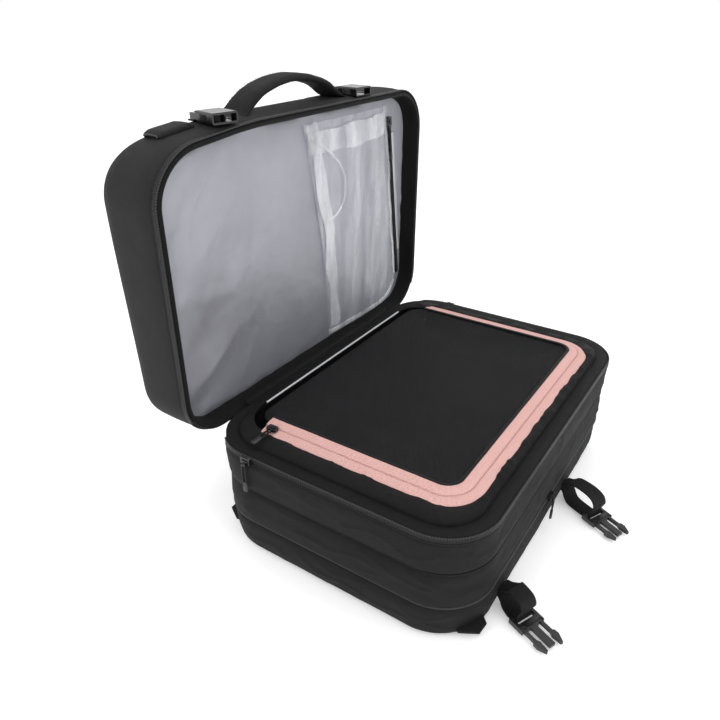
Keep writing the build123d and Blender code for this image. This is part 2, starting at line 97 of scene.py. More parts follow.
CAMERA_AT, CAMERA_AHEAD = (0.292, -0.599, 0.532), (-0.4827, 0.7293, -0.4848)
WING_CORNERS = ((132, -150), (158, -178), (157, -192), (140, -202), (118, -196))
KEEPER_Y, KEEPER_Z, KEEPER_W = (-190.0, -148.0), LID_TOP_Z - 23.0, 26.0


# ---- shaders --------------------------------------------------------------------------------------
class Shader:
    """A material's node tree, built round its Principled node."""

    def __init__(self, name, colour, roughness, **constants):
        self.material = bpy.data.materials.new(name)
        self.material.use_nodes = True
        self.tree = self.material.node_tree
        self.base = self.tree.nodes["Principled BSDF"]
        self.colour = (*colour, 1.0)
        self.base.inputs["Base Color"].default_value = self.colour
        self.base.inputs["Roughness"].default_value = roughness
        for socket, value in constants.items():
            self.base.inputs[socket.replace("_", " ")].default_value = value

    def node(self, kind, inputs=(), **settings):
        """A new node with its settings, and its inputs linked or set."""
        made = self.tree.nodes.new(kind)
        for key, value in settings.items():
            setattr(made, key, value)
        for key, value in dict(inputs).items():
            if isinstance(value, bpy.types.NodeSocket):
                self.tree.links.new(value, made.inputs[key])
            else:
                made.inputs[key].default_value = value
        return made

    def drive(self, socket, value):
        """Links an output to a socket of the Principled node."""
        self.tree.links.new(value, self.base.inputs[socket])

    def maths(self, operation, first, second=0.0):
        return self.node("ShaderNodeMath", {0: first, 1: second}, operation=operation).outputs[0]

    def surface(self):
        """The piece's UV map, which is in metres."""
        return self.node("ShaderNodeUVMap").outputs["UV"]

    def place(self):
        """Object coordinates, which are metres in the frame."""
        return self.node("ShaderNodeTexCoord").outputs["Object"]

    def grain(self, vector, size, detail=2.0, rough=0.5):
        """Noise from 0 to 1 whose features are about size metres."""
        inputs = {"Vector": vector, "Scale": 1 / size, "Detail": detail, "Roughness": rough}
        return self.node("ShaderNodeTexNoise", inputs).outputs[0]

    def stripes(self, vector, axis, pitch):
        """A wave from -1 to 1 along one axis of the vector."""
        part = self.node("ShaderNodeSeparateXYZ", {0: vector}).outputs[axis]
        return self.maths("SINE", self.maths("MULTIPLY", part, 2 * math.pi / pitch))

    def span(self, value, low, high, to_low=0.0, to_high=1.0):
        inputs = {"Value": value, "From Min": low, "From Max": high, "To Min": to_low, "To Max": to_high}
        return self.node("ShaderNodeMapRange", inputs).outputs[0]

    def shades(self, factor, dark, light):
        """The material's colour, between dark and light times itself."""
        mix = self.node("ShaderNodeMix", data_type="RGBA")
        ends = [s for s in mix.inputs if s.type == "RGBA"]
        for end, times in zip(ends, (dark, light)):
            end.default_value = [min(1, c * times) for c in self.colour[:3]] + [1]
        self.tree.links.new(factor, mix.inputs[0])
        self.drive("Base Color", [s for s in mix.outputs if s.type == "RGBA"][0])

    def bumps(self, *layers):
        """Bump from pairs of a height and its depth in metres, the coarse ones first."""
        normal = None
        for height, depth in layers:
            inputs = {"Height": height, "Distance": depth, "Strength": 1.0}
            if normal is not None:
                inputs["Normal"] = normal
            normal = self.node("ShaderNodeBump", inputs).outputs[0]
        self.drive("Normal", normal)


def woven(name, colour, roughness, pitch=0.0011, depth=0.00022, contrast=0.3, **constants):
    """Plain-weave cloth, with slight changes of shade and sheen from place to place."""
    made = Shader(name, colour, roughness, **{"Specular_IOR_Level": 0.2, **constants})
    uv = made.surface()
    weave = made.maths("MULTIPLY", made.stripes(uv, 0, pitch), made.stripes(uv, 1, pitch))
    threads = made.grain(uv, pitch * 1.7, 3.0)
    cloud = made.grain(made.place(), 0.06, 4.0, 0.6)
    tone = made.maths("ADD", made.maths("MULTIPLY", threads, 0.6), made.maths("MULTIPLY", cloud, 0.4))
    made.shades(made.span(tone, 0.3, 0.7), 1 - contrast, 1 + contrast)
    made.drive("Roughness", made.span(cloud, 0.3, 0.7, roughness - 0.07, roughness + 0.07))
    made.bumps((made.grain(made.place(), 0.018, 3.0, 0.55), 0.0012), (weave, depth), (threads, depth * 0.7))
    return made.material


def webbing(name, colour, width):
    """Ribbed strap webbing: fine cross ribs, and two raised bands along its edges."""
    made = Shader(name, colour, 0.62, Specular_IOR_Level=0.2)
    uv = made.surface()
    ribs = made.stripes(uv, 1, 0.0016)
    cords = made.maths("MULTIPLY", made.stripes(uv, 0, width / 6), 0.5)
    fuzz = made.grain(uv, 0.0012, 3.0)
    made.shades(made.span(fuzz, 0.3, 0.7), 0.65, 1.45)
    made.bumps((cords, 0.0004), (ribs, 0.0003), (fuzz, 0.0003))
    return made.material


def tape_cloth(name, colour, rib=0.0014, roughness=0.6, depth=0.00022, **constants):
    """Zip tape: herringbone ribs along its length."""
    made = Shader(name, colour, roughness, **{"Specular_IOR_Level": 0.25, **constants})
    uv = made.surface()
    turn = {"Vector": uv, "Angle": math.radians(38)}
    bent = made.node("ShaderNodeVectorRotate", turn, rotation_type="Z_AXIS")
    twill = made.stripes(bent.outputs[0], 0, rib)
    lines = made.stripes(uv, 1, rib * 1.9)
    fuzz = made.grain(uv, rib, 3.0)
    made.shades(made.span(fuzz, 0.25, 0.75), 0.86, 1.1)
    made.bumps((lines, depth), (twill, depth), (fuzz, depth))
    return made.material


def satin(name, colour):
    """Thin satin lining: long sheen across fine threads, and soft crumpling."""
    made = Shader(name, colour, 0.36, Metallic=0.45, Specular_IOR_Level=0.6)
    uv = made.surface()
    threads = made.stripes(uv, 1, 0.0007)
    soft = made.grain(uv, 0.07, 2.0, 0.5)
    fine = made.grain(uv, 0.012, 4.0, 0.6)
    made.shades(made.span(soft, 0.3, 0.7), 0.94, 1.06)
    made.drive("Roughness", made.span(fine, 0.3, 0.7, 0.3, 0.44))
    made.bumps((soft, 0.002), (fine, 0.0003), (threads, 0.00006))
    return made.material


def net(name, colour, pitch, opening, thread=0.35):
    """Air mesh: a cloth with staggered round holes, which are see-through where opening says so."""
    made = Shader(name, colour, 0.7, Specular_IOR_Level=0.2)
    uv = made.surface()
    wide = made.maths("MULTIPLY", made.stripes(uv, 0, pitch), made.stripes(uv, 1, pitch * 1.7))
    holes = made.span(wide, thread - 0.25, thread + 0.25)
    cloud = made.grain(made.place(), 0.05, 3.0)
    made.shades(cloud, 0.7, 1.35)
    made.bumps((made.maths("MULTIPLY", wide, -1.0), pitch * 0.25))
    if opening:
        made.drive("Alpha", made.maths("SUBTRACT", 1.0, made.maths("MULTIPLY", holes, opening)))
    return made.material


def moulded(name, colour, roughness, depth=0.00006, **constants):
    """Moulded plastic or lacquered metal with a fine grain and slightly worn gloss."""
    made = Shader(name, colour, roughness, **constants)
    at = made.place()
    wear = made.grain(at, 0.009, 4.0, 0.6)
    grain = made.grain(at, 0.0006, 2.0)
    made.shades(made.span(wear, 0.3, 0.8), 0.8, 1.5)
    made.drive("Roughness", made.span(wear, 0.3, 0.7, roughness * 0.75, roughness * 1.3))
    made.bumps((grain, depth))
    return made.material


def film(name, tint, body, roughness):
    """Clear film: mostly see-through, with a glossy face, and milky patches that are partly its creasing and
    partly painted reflection.
    """
    made = Shader(name, tint, roughness, Coat_Weight=1.0, Coat_Roughness=0.06)
    at = made.place()
    drawn = made.node("ShaderNodeMapping", {"Vector": at, "Scale": (1.0, 1.6, 0.35)}).outputs[0]
    # How milky the film is from place to place: partly real creasing, partly painted reflection standing in
    # for glare off the film.
    milk_and_glare_streaks = made.grain(drawn, 0.04, 4.0, 0.6)
    made.bumps((made.grain(drawn, 0.05, 2.0), 0.006), (made.grain(at, 0.008, 2.0, 0.5), 0.0004))
    clear = made.node("ShaderNodeBsdfTransparent", {"Color": (*[0.6 + c * 0.4 for c in tint], 1)})
    milk_and_glare_share = made.span(milk_and_glare_streaks, 0.38, 0.66, body * 0.55, min(1.0, body * 2.0))
    mix = made.node("ShaderNodeMixShader", {0: milk_and_glare_share, 1: clear.outputs[0], 2: made.base.outputs[0]})
    made.tree.links.new(mix.outputs[0], made.tree.nodes["Material Output"].inputs[0])
    return made.material


SHELL = woven("shell cloth", (0.0085, 0.0085, 0.009), 0.72)
LID_SHELL = woven("lid cloth", (0.0125, 0.0125, 0.0134), 0.68, Sheen_Weight=0.02)
BORDER = woven("border cloth", (0.0072, 0.0072, 0.0076), 0.62, pitch=0.0009)
INSIDE = woven("inside cloth", (0.012, 0.012, 0.013), 0.7, pitch=0.0009)
HANDLE_CLOTH = woven("handle cloth", (0.0105, 0.0105, 0.011), 0.7, pitch=0.0013, depth=0.0003)
BINDING = tape_cloth("binding", (0.0065, 0.0065, 0.007), 0.0011, 0.55)
WEB = webbing("webbing", (0.0095, 0.0095, 0.01), WEBBING_W * MM)
ZIP_TAPE = tape_cloth("zip tape", (0.0075, 0.0075, 0.008), 0.0012, 0.45)
ZIP_TEETH = moulded("zip coil", (0.0075, 0.0075, 0.008), 0.34)
PINK = tape_cloth("pink tape", (0.78, 0.46, 0.42), 0.0013, 0.6)
PINK_COIL = tape_cloth("pink coil", (0.7, 0.4, 0.365), 0.001, 0.5)
PINK_THREAD = tape_cloth("pink thread", (0.92, 0.72, 0.68), 0.0006, 0.6)
THREAD = tape_cloth("thread", (0.03, 0.03, 0.032), 0.0006, 0.5)
LINING = satin("satin lining", (0.35, 0.355, 0.395))
SILVER_EDGE = satin("satin binding", (0.6, 0.6, 0.62))
MESH = net("open mesh", (0.012, 0.012, 0.013), 0.0019, 0.75)
AIR_MESH = net("air mesh", (0.018, 0.018, 0.019), 0.0032, 0.0)
FILM = film("clear film", (0.92, 0.93, 0.97), 0.17, 0.5)
WELD = film("welded film", (0.95, 0.96, 0.98), 0.2, 0.62)
PLASTIC = moulded("buckle plastic", (0.006, 0.006, 0.0065), 0.22, Coat_Weight=0.2, Coat_Roughness=0.1)
MATT_PLASTIC = moulded("male buckle plastic", (0.0065, 0.0065, 0.007), 0.34)
METAL = moulded("black nickel", (0.05, 0.05, 0.052), 0.26, Metallic=0.85)
CORD = tape_cloth("pull cord", (0.013, 0.013, 0.014), 0.001, 0.45)
RUBBER = moulded("soft grip", (0.013, 0.013, 0.014), 0.4)
BOARD = moulded("frame board", (0.08, 0.08, 0.085), 0.5)


# ---- meshes ---------------------------------------------------------------------------------------
def unit(vectors):
    """The same directions, one long."""
    return vectors / np.maximum(np.linalg.norm(vectors, axis=-1, keepdims=True), 1e-9)


def run_length(points):
    """Distance along rows of points, averaged over the second axis."""
    steps = np.linalg.norm(np.diff(points, axis=0), axis=-1)
    steps = steps.reshape(len(steps), -1).mean(axis=1)
    return np.concatenate([[0.0], np.cumsum(steps)])


def add_mesh(name, points, faces, uvs, material):
    """A smooth-shaded mesh object from millimetres, with a UV map in metres."""
    mesh = bpy.data.meshes.new(name)
    mesh.from_pydata((np.asarray(points) * MM).tolist(), [], faces)
    layer = mesh.uv_layers.new(name="UVMap")
    layer.data.foreach_set("uv", (np.asarray(uvs, np.float32) * MM).ravel())
    mesh.polygons.foreach_set("use_smooth", [True] * len(mesh.polygons))
    mesh.materials.append(material)
    mesh.update()
    made = bpy.data.objects.new(name, mesh)
    bpy.context.scene.collection.objects.link(made)
    return made


def skin(name, rows, material, around=False, along=False, ends=False):
    """A surface through a grid of points, closed round its columns, its rows or its ends where asked."""
    count, width = rows.shape[:2]
    steps = (np.arange(count if along else count - 1), np.arange(width if around else width - 1))
    i, j = (index.ravel() for index in np.meshgrid(*steps, indexing="ij"))
    i2, j2 = (i + 1) % count, (j + 1) % width
    faces = np.stack([i * width + j, i * width + j2, i2 * width + j2, i2 * width + j], -1).tolist()
    across = np.swapaxes(rows, 0, 1)
    u = run_length(np.concatenate([across, across[:1]]) if around else across)
    v = run_length(np.concatenate([rows, rows[:1]]) if along else rows)
    corners = [(u[j], v[i]), (u[j + 1], v[i]), (u[j + 1], v[i + 1]), (u[j], v[i + 1])]
    uvs = np.stack([np.stack(c, -1) for c in corners], 1).reshape(-1, 2)
    if ends:
        for end in (list(range(width))[::-1], list(range((count - 1) * width, count * width))):
            faces.append(end)
            uvs = np.concatenate([uvs, [(u[k % width], v[-1]) for k in end]])
    return add_mesh(name, rows.reshape(-1, 3), faces, uvs, material)


def outline(half, corner, count=440, centre=(0.0, 0.0)):
    """Even points round a rounded rectangle from the middle of its -X side, and their outward normals.

    The corner radius may be four: at the -X side, then the +X side, each at -Y and at +Y.
    """
    radii = np.broadcast_to(corner, (2, 2))
    turns = [(-1, -1, 180), (1, -1, 270), (1, 1, 360), (-1, 1, 450)]
    points, angles = [(-half[0], 0.0)], [math.radians(180)]
    for x, y, start in turns:
        radius = radii[int(x > 0), int(y > 0)]
        for angle in np.radians(np.linspace(start, start + 90, 40)):
            along, over = radius * math.cos(angle), radius * math.sin(angle)
            points.append((x * (half[0] - radius) + along, y * (half[1] - radius) + over))
            angles.append(angle)
    points.append(points[0])
    angles.append(math.radians(540))
    points, angles = np.array(points), np.array(angles)
    far = run_length(points)
    at = np.linspace(0, far[-1], count, endpoint=False)
    angle = np.interp(at, far, angles)
    even = np.stack([np.interp(at, far, points[:, k]) for k in (0, 1)], -1) + np.array(centre)
    return even, np.stack([np.cos(angle), np.sin(angle)], -1)


def plan_grid(half, corner, centre=(0.0, 0.0), step=4.0):
    """A grid of plan points that fills a rounded rectangle, and each point's distance to the edge."""
    rows = max(8, int(2 * half[1] / step))
    turn = np.linspace(-1, 1, rows + 1)
    y = half[1] * np.sin(turn * math.pi / 2) * 0.35 + half[1] * turn * 0.65
    radii = np.broadcast_to(corner, (2, 2))
    by_row = [np.where(y > 0, pair[1], pair[0]) for pair in radii]
    past = [np.clip(np.abs(y) - (half[1] - radius), 0, radius) for radius in by_row]
    low, high = (half[0] - radius + np.sqrt(radius**2 - over**2) for radius, over in zip(by_row, past))
    columns = max(8, int(2 * half[0] / step))
    u = np.linspace(-1, 1, columns + 1)
    u = 0.35 * np.sin(u * math.pi / 2) + 0.65 * u
    x = (high - low)[:, None] / 2 + (high + low)[:, None] / 2 * u[None, :]
    grid = np.stack([x, np.repeat(y[:, None], columns + 1, 1)], -1)
    radius = np.where(x > 0, by_row[1][:, None], by_row[0][:, None])
    q = np.abs(grid) - (np.array(half) - radius[..., None])
    depth = radius - np.linalg.norm(np.maximum(q, 0), axis=-1) - np.minimum(q.max(-1), 0)
    return grid + np.array(centre), depth


def curve(points, step=2.0):
    """Even points along a smooth curve through the points given."""
    points = np.asarray(points, float)
    padded = np.concatenate([[2 * points[0] - points[1]], points, [2 * points[-1] - points[-2]]])
    fine = []
    for a, b, c, d in zip(padded, padded[1:], padded[2:], padded[3:]):
        t = np.linspace(0, 1, 24, endpoint=False)[:, None]
        square, cube = 2 * a - 5 * b + 4 * c - d, 3 * b - a - 3 * c + d
        fine.append(0.5 * (2 * b + (c - a) * t + square * t**2 + cube * t**3))
    fine = np.concatenate([*fine, points[-1:]])
    far = run_length(fine)
    at = np.linspace(0, far[-1], max(3, int(far[-1] / step) + 1))
    return np.stack([np.interp(at, far, fine[:, k]) for k in range(points.shape[1])], -1)


def noise_at(points, size, seed, stretch=(1, 1, 1)):
    """Smooth noise at millimetre points, about -1 to 1, with features of the given size."""
    shift = np.array((seed * 17.3, seed * 5.1, seed * 9.7))
    scaled = points.reshape(-1, 3) * np.array(stretch) / size + shift
    return np.array([noise.noise(p) for p in scaled.tolist()]).reshape(points.shape[:-1])


def normals(rows, around=False):
    """Unit normals of a grid surface: columns' direction times rows' direction."""
    across = np.roll(rows, -1, 1) - np.roll(rows, 1, 1) if around else np.gradient(rows, axis=1)
    return unit(np.cross(across, np.gradient(rows, axis=0)))


def relief(rows, height, around=False):
    """Moves a grid surface along its normals."""
    return rows + normals(rows, around) * height[..., None]


def eased(value, low, high):
    """A smooth step from 0 at low to 1 at high."""
    share = np.clip((value - low) / (high - low), 0, 1)
    return share * share * (3 - 2 * share)


def opened(points):
    """Turns points of the closed lid to where it stands at rest. Its free near corner sags a little."""
    points = np.asarray(points, float)
    x, y, z = points[..., 0], points[..., 1], points[..., 2]
    sag = LID_SAG * eased(-y, 85, 225) * eased(x, -20, 150)
    return np.stack([HINGE_X - (z - HINGE_Z), y, HINGE_Z + (x - HINGE_X) - sag], -1)


def lifted(plan, z):
    """Plan points with a height for each."""
    return np.concatenate([plan, np.broadcast_to(np.asarray(z, float), plan.shape[:-1])[..., None]], -1)


def upright(line):
    """A curve drawn in a plane, as points of the local XZ plane."""
    return np.stack([line[:, 0], np.zeros(len(line)), line[:, 1]], -1)


def round_section(width, thickness, crown=0.0, edge=5):
    """A strap's closed section, as across and up: rounded edges, and a crowned top."""
    radius = thickness / 2
    angles = np.radians(np.linspace(-90, 90, edge))
    right = [(width / 2 - radius + radius * math.cos(a), radius * math.sin(a)) for a in angles]
    left = [(-x, -y) for x, y in right]
    top = [(x, radius) for x in np.linspace(width / 2 - radius, radius - width / 2, 9)[1:-1]]
    bottom = [(-x, -radius) for x, _ in top]
    section = np.array(right + top + left + bottom)
    section[:, 1] += crown * (1 - (2 * section[:, 0] / width) ** 2)
    return section


def on_edge(width, thickness):
    """A strap's section with its width in the up direction."""
    return round_section(width, thickness)[::-1, ::-1]


def disc(radius, count=8):
    """A round section."""
    angles = np.linspace(0, 2 * math.pi, count, endpoint=False)
    return np.stack([radius * np.cos(angles), radius * np.sin(angles)], -1)


def sides(path, up, closed=False):
    """Directions across and up at each point of a path, kept square to it."""
    ahead = np.roll(path, -1, 0) - np.roll(path, 1, 0) if closed else np.gradient(path, axis=0)
    across = unit(np.cross(ahead, np.broadcast_to(up, path.shape)))
    return across, unit(np.cross(across, ahead))


def sweep(name, path, up, section, material, closed=False):
    """A section carried along a path, its second direction towards up. A section may differ at each point."""
    across, lift = sides(path, up, closed)
    section = np.broadcast_to(section, (len(path), *np.shape(section)[-2:]))
    rows = path[:, None] + section[..., :1] * across[:, None] + section[..., 1:] * lift[:, None]
    return skin(name, rows, material, around=True, along=closed, ends=not closed)


def coil(name, path, up, radius, material, closed=False, pitch=2.6):
    """The interlocked teeth of a coil zip: a cord that swells at each tooth."""
    far = run_length(path)
    at = np.arange(0, far[-1], pitch / 4)
    fine = np.stack([np.interp(at, far, path[:, k]) for k in range(3)], -1)
    ups = np.broadcast_to(up, path.shape)
    ups = np.stack([np.interp(at, far, ups[:, k]) for k in range(3)], -1)
    swell = 0.72 + 0.28 * np.cos(2 * math.pi * at / pitch)
    section = disc(radius, 6)[None] * swell[:, None, None]
    return sweep(name, fine, ups, section, material, closed)


def stitches(name, path, up, material, length=3.2, gap=1.4, radius=0.28):
    """A line of stitches: short raised threads along a path."""
    far = run_length(path)
    points, faces, uvs = [], [], []
    across, lift = sides(path, up)
    for start in np.arange(gap, far[-1] - length, length + gap):
        index = min(len(path) - 1, int(np.searchsorted(far, start + length / 2)))
        at = start + length * np.array((0, 0.5, 1))
        ends = np.stack([np.interp(at, far, path[:, axis]) for axis in range(3)], -1)
        side, rise = across[index] * radius, lift[index] * radius
        base = len(points)
        ring = [ends[1] + side, ends[1] + rise * 1.3, ends[1] - side, ends[1] - rise]
        points += [ends[0] - rise * 0.5, *ring, ends[2] - rise * 0.5]
        for k in range(4):
            a, b = base + 1 + k, base + 1 + (k + 1) % 4
            faces += [(base, b, a), (base + 5, a, b)]
            uvs += [(0, 0), (1, 1), (0, 1), (0, 0), (1, 1), (0, 1)]
    return add_mesh(name, points, faces, uvs, material)


def local_frame(origin, turn):
    """A place given by an origin in millimetres and a turn about Z in degrees."""
    return Matrix.Translation(Vector(origin) * MM) @ Matrix.Rotation(math.radians(turn), 4, "Z")


def moved(made, place):
    """A mesh drawn at the origin, carried to its place."""
    made.data.transform(place)
    made.data.update()
    return made


def piece(made, body, slot, *stands_for, pad=None):
    """Puts a finished mesh on its body, and hides the CAD nodes that it stands for."""
    if body:
        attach(made, body)
    if stands_for:
        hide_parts(*stands_for)
    return made


def only_first(k, node):
    """The CAD node that a row of pieces stands for, which its first piece names."""
    return [node] if k == 0 else []


def joined(name, pieces):
    """Several meshes as one object, which keeps the first one's materials."""
    with bpy.context.temp_override(active_object=pieces[0], selected_editable_objects=pieces):
        bpy.ops.object.join()
    pieces[0].name = name
    return pieces[0]


def inflated(made, cap):
    """Blows a closed piece up with Cloth, no point moving further than cap millimetres."""
    scene = bpy.context.scene
    low = min(vertex.co.z for vertex in made.data.vertices)
    welded = made.modifiers.new("weld", "WELD")
    welded.merge_threshold = 0.0001
    with bpy.context.temp_override(object=made, active_object=made):
        bpy.ops.object.modifier_apply(modifier=welded.name)
    rest = np.array([vertex.co for vertex in made.data.vertices])
    cloth = made.modifiers.new("cloth", "CLOTH")
    cloth.settings.use_pressure = True
    cloth.settings.uniform_pressure_force = CLOTH_PRESSURE
    cloth.settings.effector_weights.gravity = 0.0
    cloth.point_cache.frame_start, cloth.point_cache.frame_end = 1, CLOTH_FRAMES
    for frame_number in range(1, CLOTH_FRAMES + 1):
        scene.frame_set(frame_number)
    blown = made.evaluated_get(bpy.context.evaluated_depsgraph_get()).data
    shift = np.array([vertex.co for vertex in blown.vertices]) - rest
    made.modifiers.remove(cloth)
    scene.frame_set(1)
    reach = np.linalg.norm(shift, axis=1, keepdims=True)
    points = rest + shift * np.minimum(1, cap * MM / np.maximum(reach, 1e-9))
    points[:, 2] = np.maximum(points[:, 2], low)
    made.data.vertices.foreach_set("co", points.ravel())
    made.data.update()
    return made


# ---- camera ---------------------------------------------------------------------------------------
def make_camera():
    """The camera, and plain colour management."""
    data = bpy.data.cameras.new("camera")
    data.sensor_width, data.lens = 36.0, 32.85
    data.clip_end = 20.0
    camera = bpy.data.objects.new("camera", data)
    camera.location = CAMERA_AT
    camera.rotation_mode = "QUATERNION"
    camera.rotation_quaternion = Vector(CAMERA_AHEAD).to_track_quat("-Z", "Y")
    bpy.context.scene.collection.objects.link(camera)
    bpy.context.scene.camera = camera
    bpy.context.scene.view_settings.view_transform = "Standard"


# ---- body -----------------------------------------------------------------------------------------
def wall_skin(name, profile, blend_half, material, puff, seed, step=2.4):
    """A storey of the side wall, its profile outward and height. Puff scales the swelling of its sides."""
    line = curve(profile, step)
    low_z, high_z = line[:, 1].min(), line[:, 1].max()
    rows = []
    for out, z in line:
        share = np.clip((z - low_z) / (high_z - low_z), 0, 1)
        half = [a + (b - a) * share for a, b in zip(*blend_half)]
        plan, away = outline(half, CORNER)
        side = np.abs(away[:, 1]) * (1 - (plan[:, 0] / half[0]) ** 2)
        free = math.sin(math.pi * share)
        hinge_side, buckle_side = np.clip(-away[:, 0], 0, 1), np.clip(away[:, 0], 0, 1)
        reach = out * (1 - 0.75 * hinge_side - 0.5 * buckle_side) + puff * free * side
        rows.append(lifted(plan + away * reach[:, None], z))
    rows = np.array(rows)
    share = np.clip((rows[..., 2] - low_z) / (high_z - low_z), 0, 1)
    free = np.sin(math.pi * share)
    hinge = np.clip(-normals(rows, around=True)[..., 0], 0, 1)
    long_folds = noise_at(rows, 46, seed, (0.45, 0.45, 2.6))
    creases = 1 - np.abs(noise_at(rows, 30, seed + 3, (0.6, 0.6, 1.9))) * 2.2
    small = noise_at(rows, 9, seed + 7)
    height = free * (1 - hinge) * (1.7 * long_folds + 1.2 * np.maximum(creases, 0) ** 3 + 0.2 * small)
    return skin(name, relief(rows, height, around=True), material, around=True)


def three_sides(half, corner, cut_x, centre=(0.0, 0.0), count=1400):
    """The part of an outline that lies beyond cut_x, as one open line, and its normals."""
    plan, away = outline(half, corner, count, centre)
    keep = plan[:, 0] > cut_x
    return plan[keep], away[keep]


def wall_zip(names, node, half, cut_x, low, high, teeth_out, teeth_z, radius):
    """A zip that stands on the body's wall: its tape from height low to high, and its teeth."""
    plan, away = three_sides(half, CORNER, cut_x, count=700)
    section = round_section(high - low, ZIP_TAPE_T, 0.2)
    path = lifted(plan + away * ZIP_TAPE_T / 2, (low + high) / 2)
    tape = sweep(names[0], path, lifted(away, 0.0), section, ZIP_TAPE)
    piece(tape, "main_body", "zip_tape", node)
    plan, away = three_sides(half, CORNER, cut_x)
    teeth = coil(names[1], lifted(plan + away * teeth_out, teeth_z), lifted(away, 0.0), radius, ZIP_TEETH)
    piece(teeth, "main_body", "zip_tape")


def wall_cord(name, half, z, cut_x, out, *node):
    """Piping that runs round the body's wall."""
    plan, away = three_sides(half, CORNER, cut_x, count=700)
    made = sweep(name, lifted(plan + away * out, z), lifted(away, 0.0), disc(1.0, 10), BINDING)
    piece(made, "main_body", "trim_fabric", *node)


def make_body_shell():
    """The side wall's three storeys. The lowest one hangs down round the pads to the floor."""
    seam, piped, rim = LAPTOP_SEAM_Z, PIPING_SEAM_Z, RIM_Z
    low = [
        (-14, 3.0), (-5, 1.4), (0.5, 2.2), (3.2, 6), (4.0, 13), (3.8, 24), (3.0, 34), (1.2, seam - 1.4),
        (-1, seam + 0.6),
    ]
    middle = [
        (-1.2, seam + 0.6), (0.6, seam + 2.2), (2.2, seam + 5), (2.8, seam + 12), (2.8, piped - 22),
        (2.6, piped - 11), (1.8, piped - 5), (0.2, piped - 1.8), (-1.5, piped - 0.6),
    ]
    upper = [
        (-1.5, piped - 1), (1.2, piped + 0.8), (2.6, piped + 3.6), (3.2, piped + 10), (3.3, rim - 24),
        (2.9, rim - 16), (2.0, rim - 10), (0.6, rim - 7), (-0.8, rim - 5.4), (-1.2, rim - 0.6),
    ]
    for name, profile, halves, puff, seed, fill in (
        ("lower", low, (LOW_HALF, MIDDLE_HALF), 1.5, 11, 0.4),
        ("middle", middle, (MIDDLE_HALF, MIDDLE_HALF), 2.5, 23, 0.5),
        ("upper", upper, (MIDDLE_HALF, HALF), 2.5, 37, 0.5),
    ):
        made = wall_skin(f"shell_{name}", profile, halves, SHELL, puff, seed)
        piece(made, "main_body", "shell_fabric", f"{name}_band", pad=fill)


def make_seams():
    """Zips and piping in the grooves between the storeys."""
    seam, start_x = LAPTOP_SEAM_Z, -HALF[0] + 22
    names = ("laptop_zip_tape_body", "laptop_zip_teeth")
    wall_zip(names, "laptop_zip_tape", MIDDLE_HALF, -150, seam, seam + 5, 1.4, seam + 2.6, 1.0)
    wall_cord("gusset_cord", MIDDLE_HALF, PIPING_SEAM_Z - 1.2, -400, 0.4, "gusset_piping")
    names = ("main_zip_tape_lower", "main_zip_teeth_lower")
    wall_zip(names, "main_zip_tape_body", HALF, start_x, RIM_Z - 6, RIM_Z - 0.4, 0.7, RIM_Z - 0.7, 1.2)
    wall_cord("rim_cord_lower", HALF, RIM_Z - 6.6, start_x, 1.0)


def make_border():
    """The lip inside the main zip, and the soft border that rises from it to the mesh cover."""
    outer, away = outline(HALF, CORNER)
    inner, _ = outline(MESH_HALF, MESH_CORNER, centre=MESH_MID)
    profile = curve([(0.6, -0.6), (3, 0.1), (8, -0.2), (13, -1.2), (16.5, -1.8)], 2.0)
    lip = np.array([lifted(outer - away * inset, RIM_Z + z) for inset, z in profile])
    lip = relief(lip, -0.5 * noise_at(lip, 14, 5), around=True)
    piece(skin("rim_lip_cloth", lip, BORDER, around=True), "main_body", "shell_fabric", "rim_lip")
    rows = []
    base = outer - away * BORDER_INSET
    profile = [(0, -8.2), (0.4, -6.2), (2, -4.4), (6, -2.6), (11, -1.7), (17, -2.2), (21, -3.4)]
    for inset, z in curve(profile, 1.6):
        share = inset / 20
        rows.append(lifted(base * (1 - share) + inner * share, DOME_Z + z))
    rows = np.array(rows)
    share = np.linspace(0, 1, len(rows))[:, None]
    free = np.sin(math.pi * share) ** 0.8
    folds = noise_at(rows, 26, 61, (1.0, 1.0, 0.4))
    creases = np.maximum(1 - np.abs(noise_at(rows, 20, 67)) * 2.4, 0) ** 2
    rows = relief(rows, -free * (1.5 * folds - 1.5 * creases), around=True)
    made = skin("rim_border_cloth", rows, BORDER, around=True)
    piece(made, "main_body", "shell_fabric", "rim_border", pad=0.4)


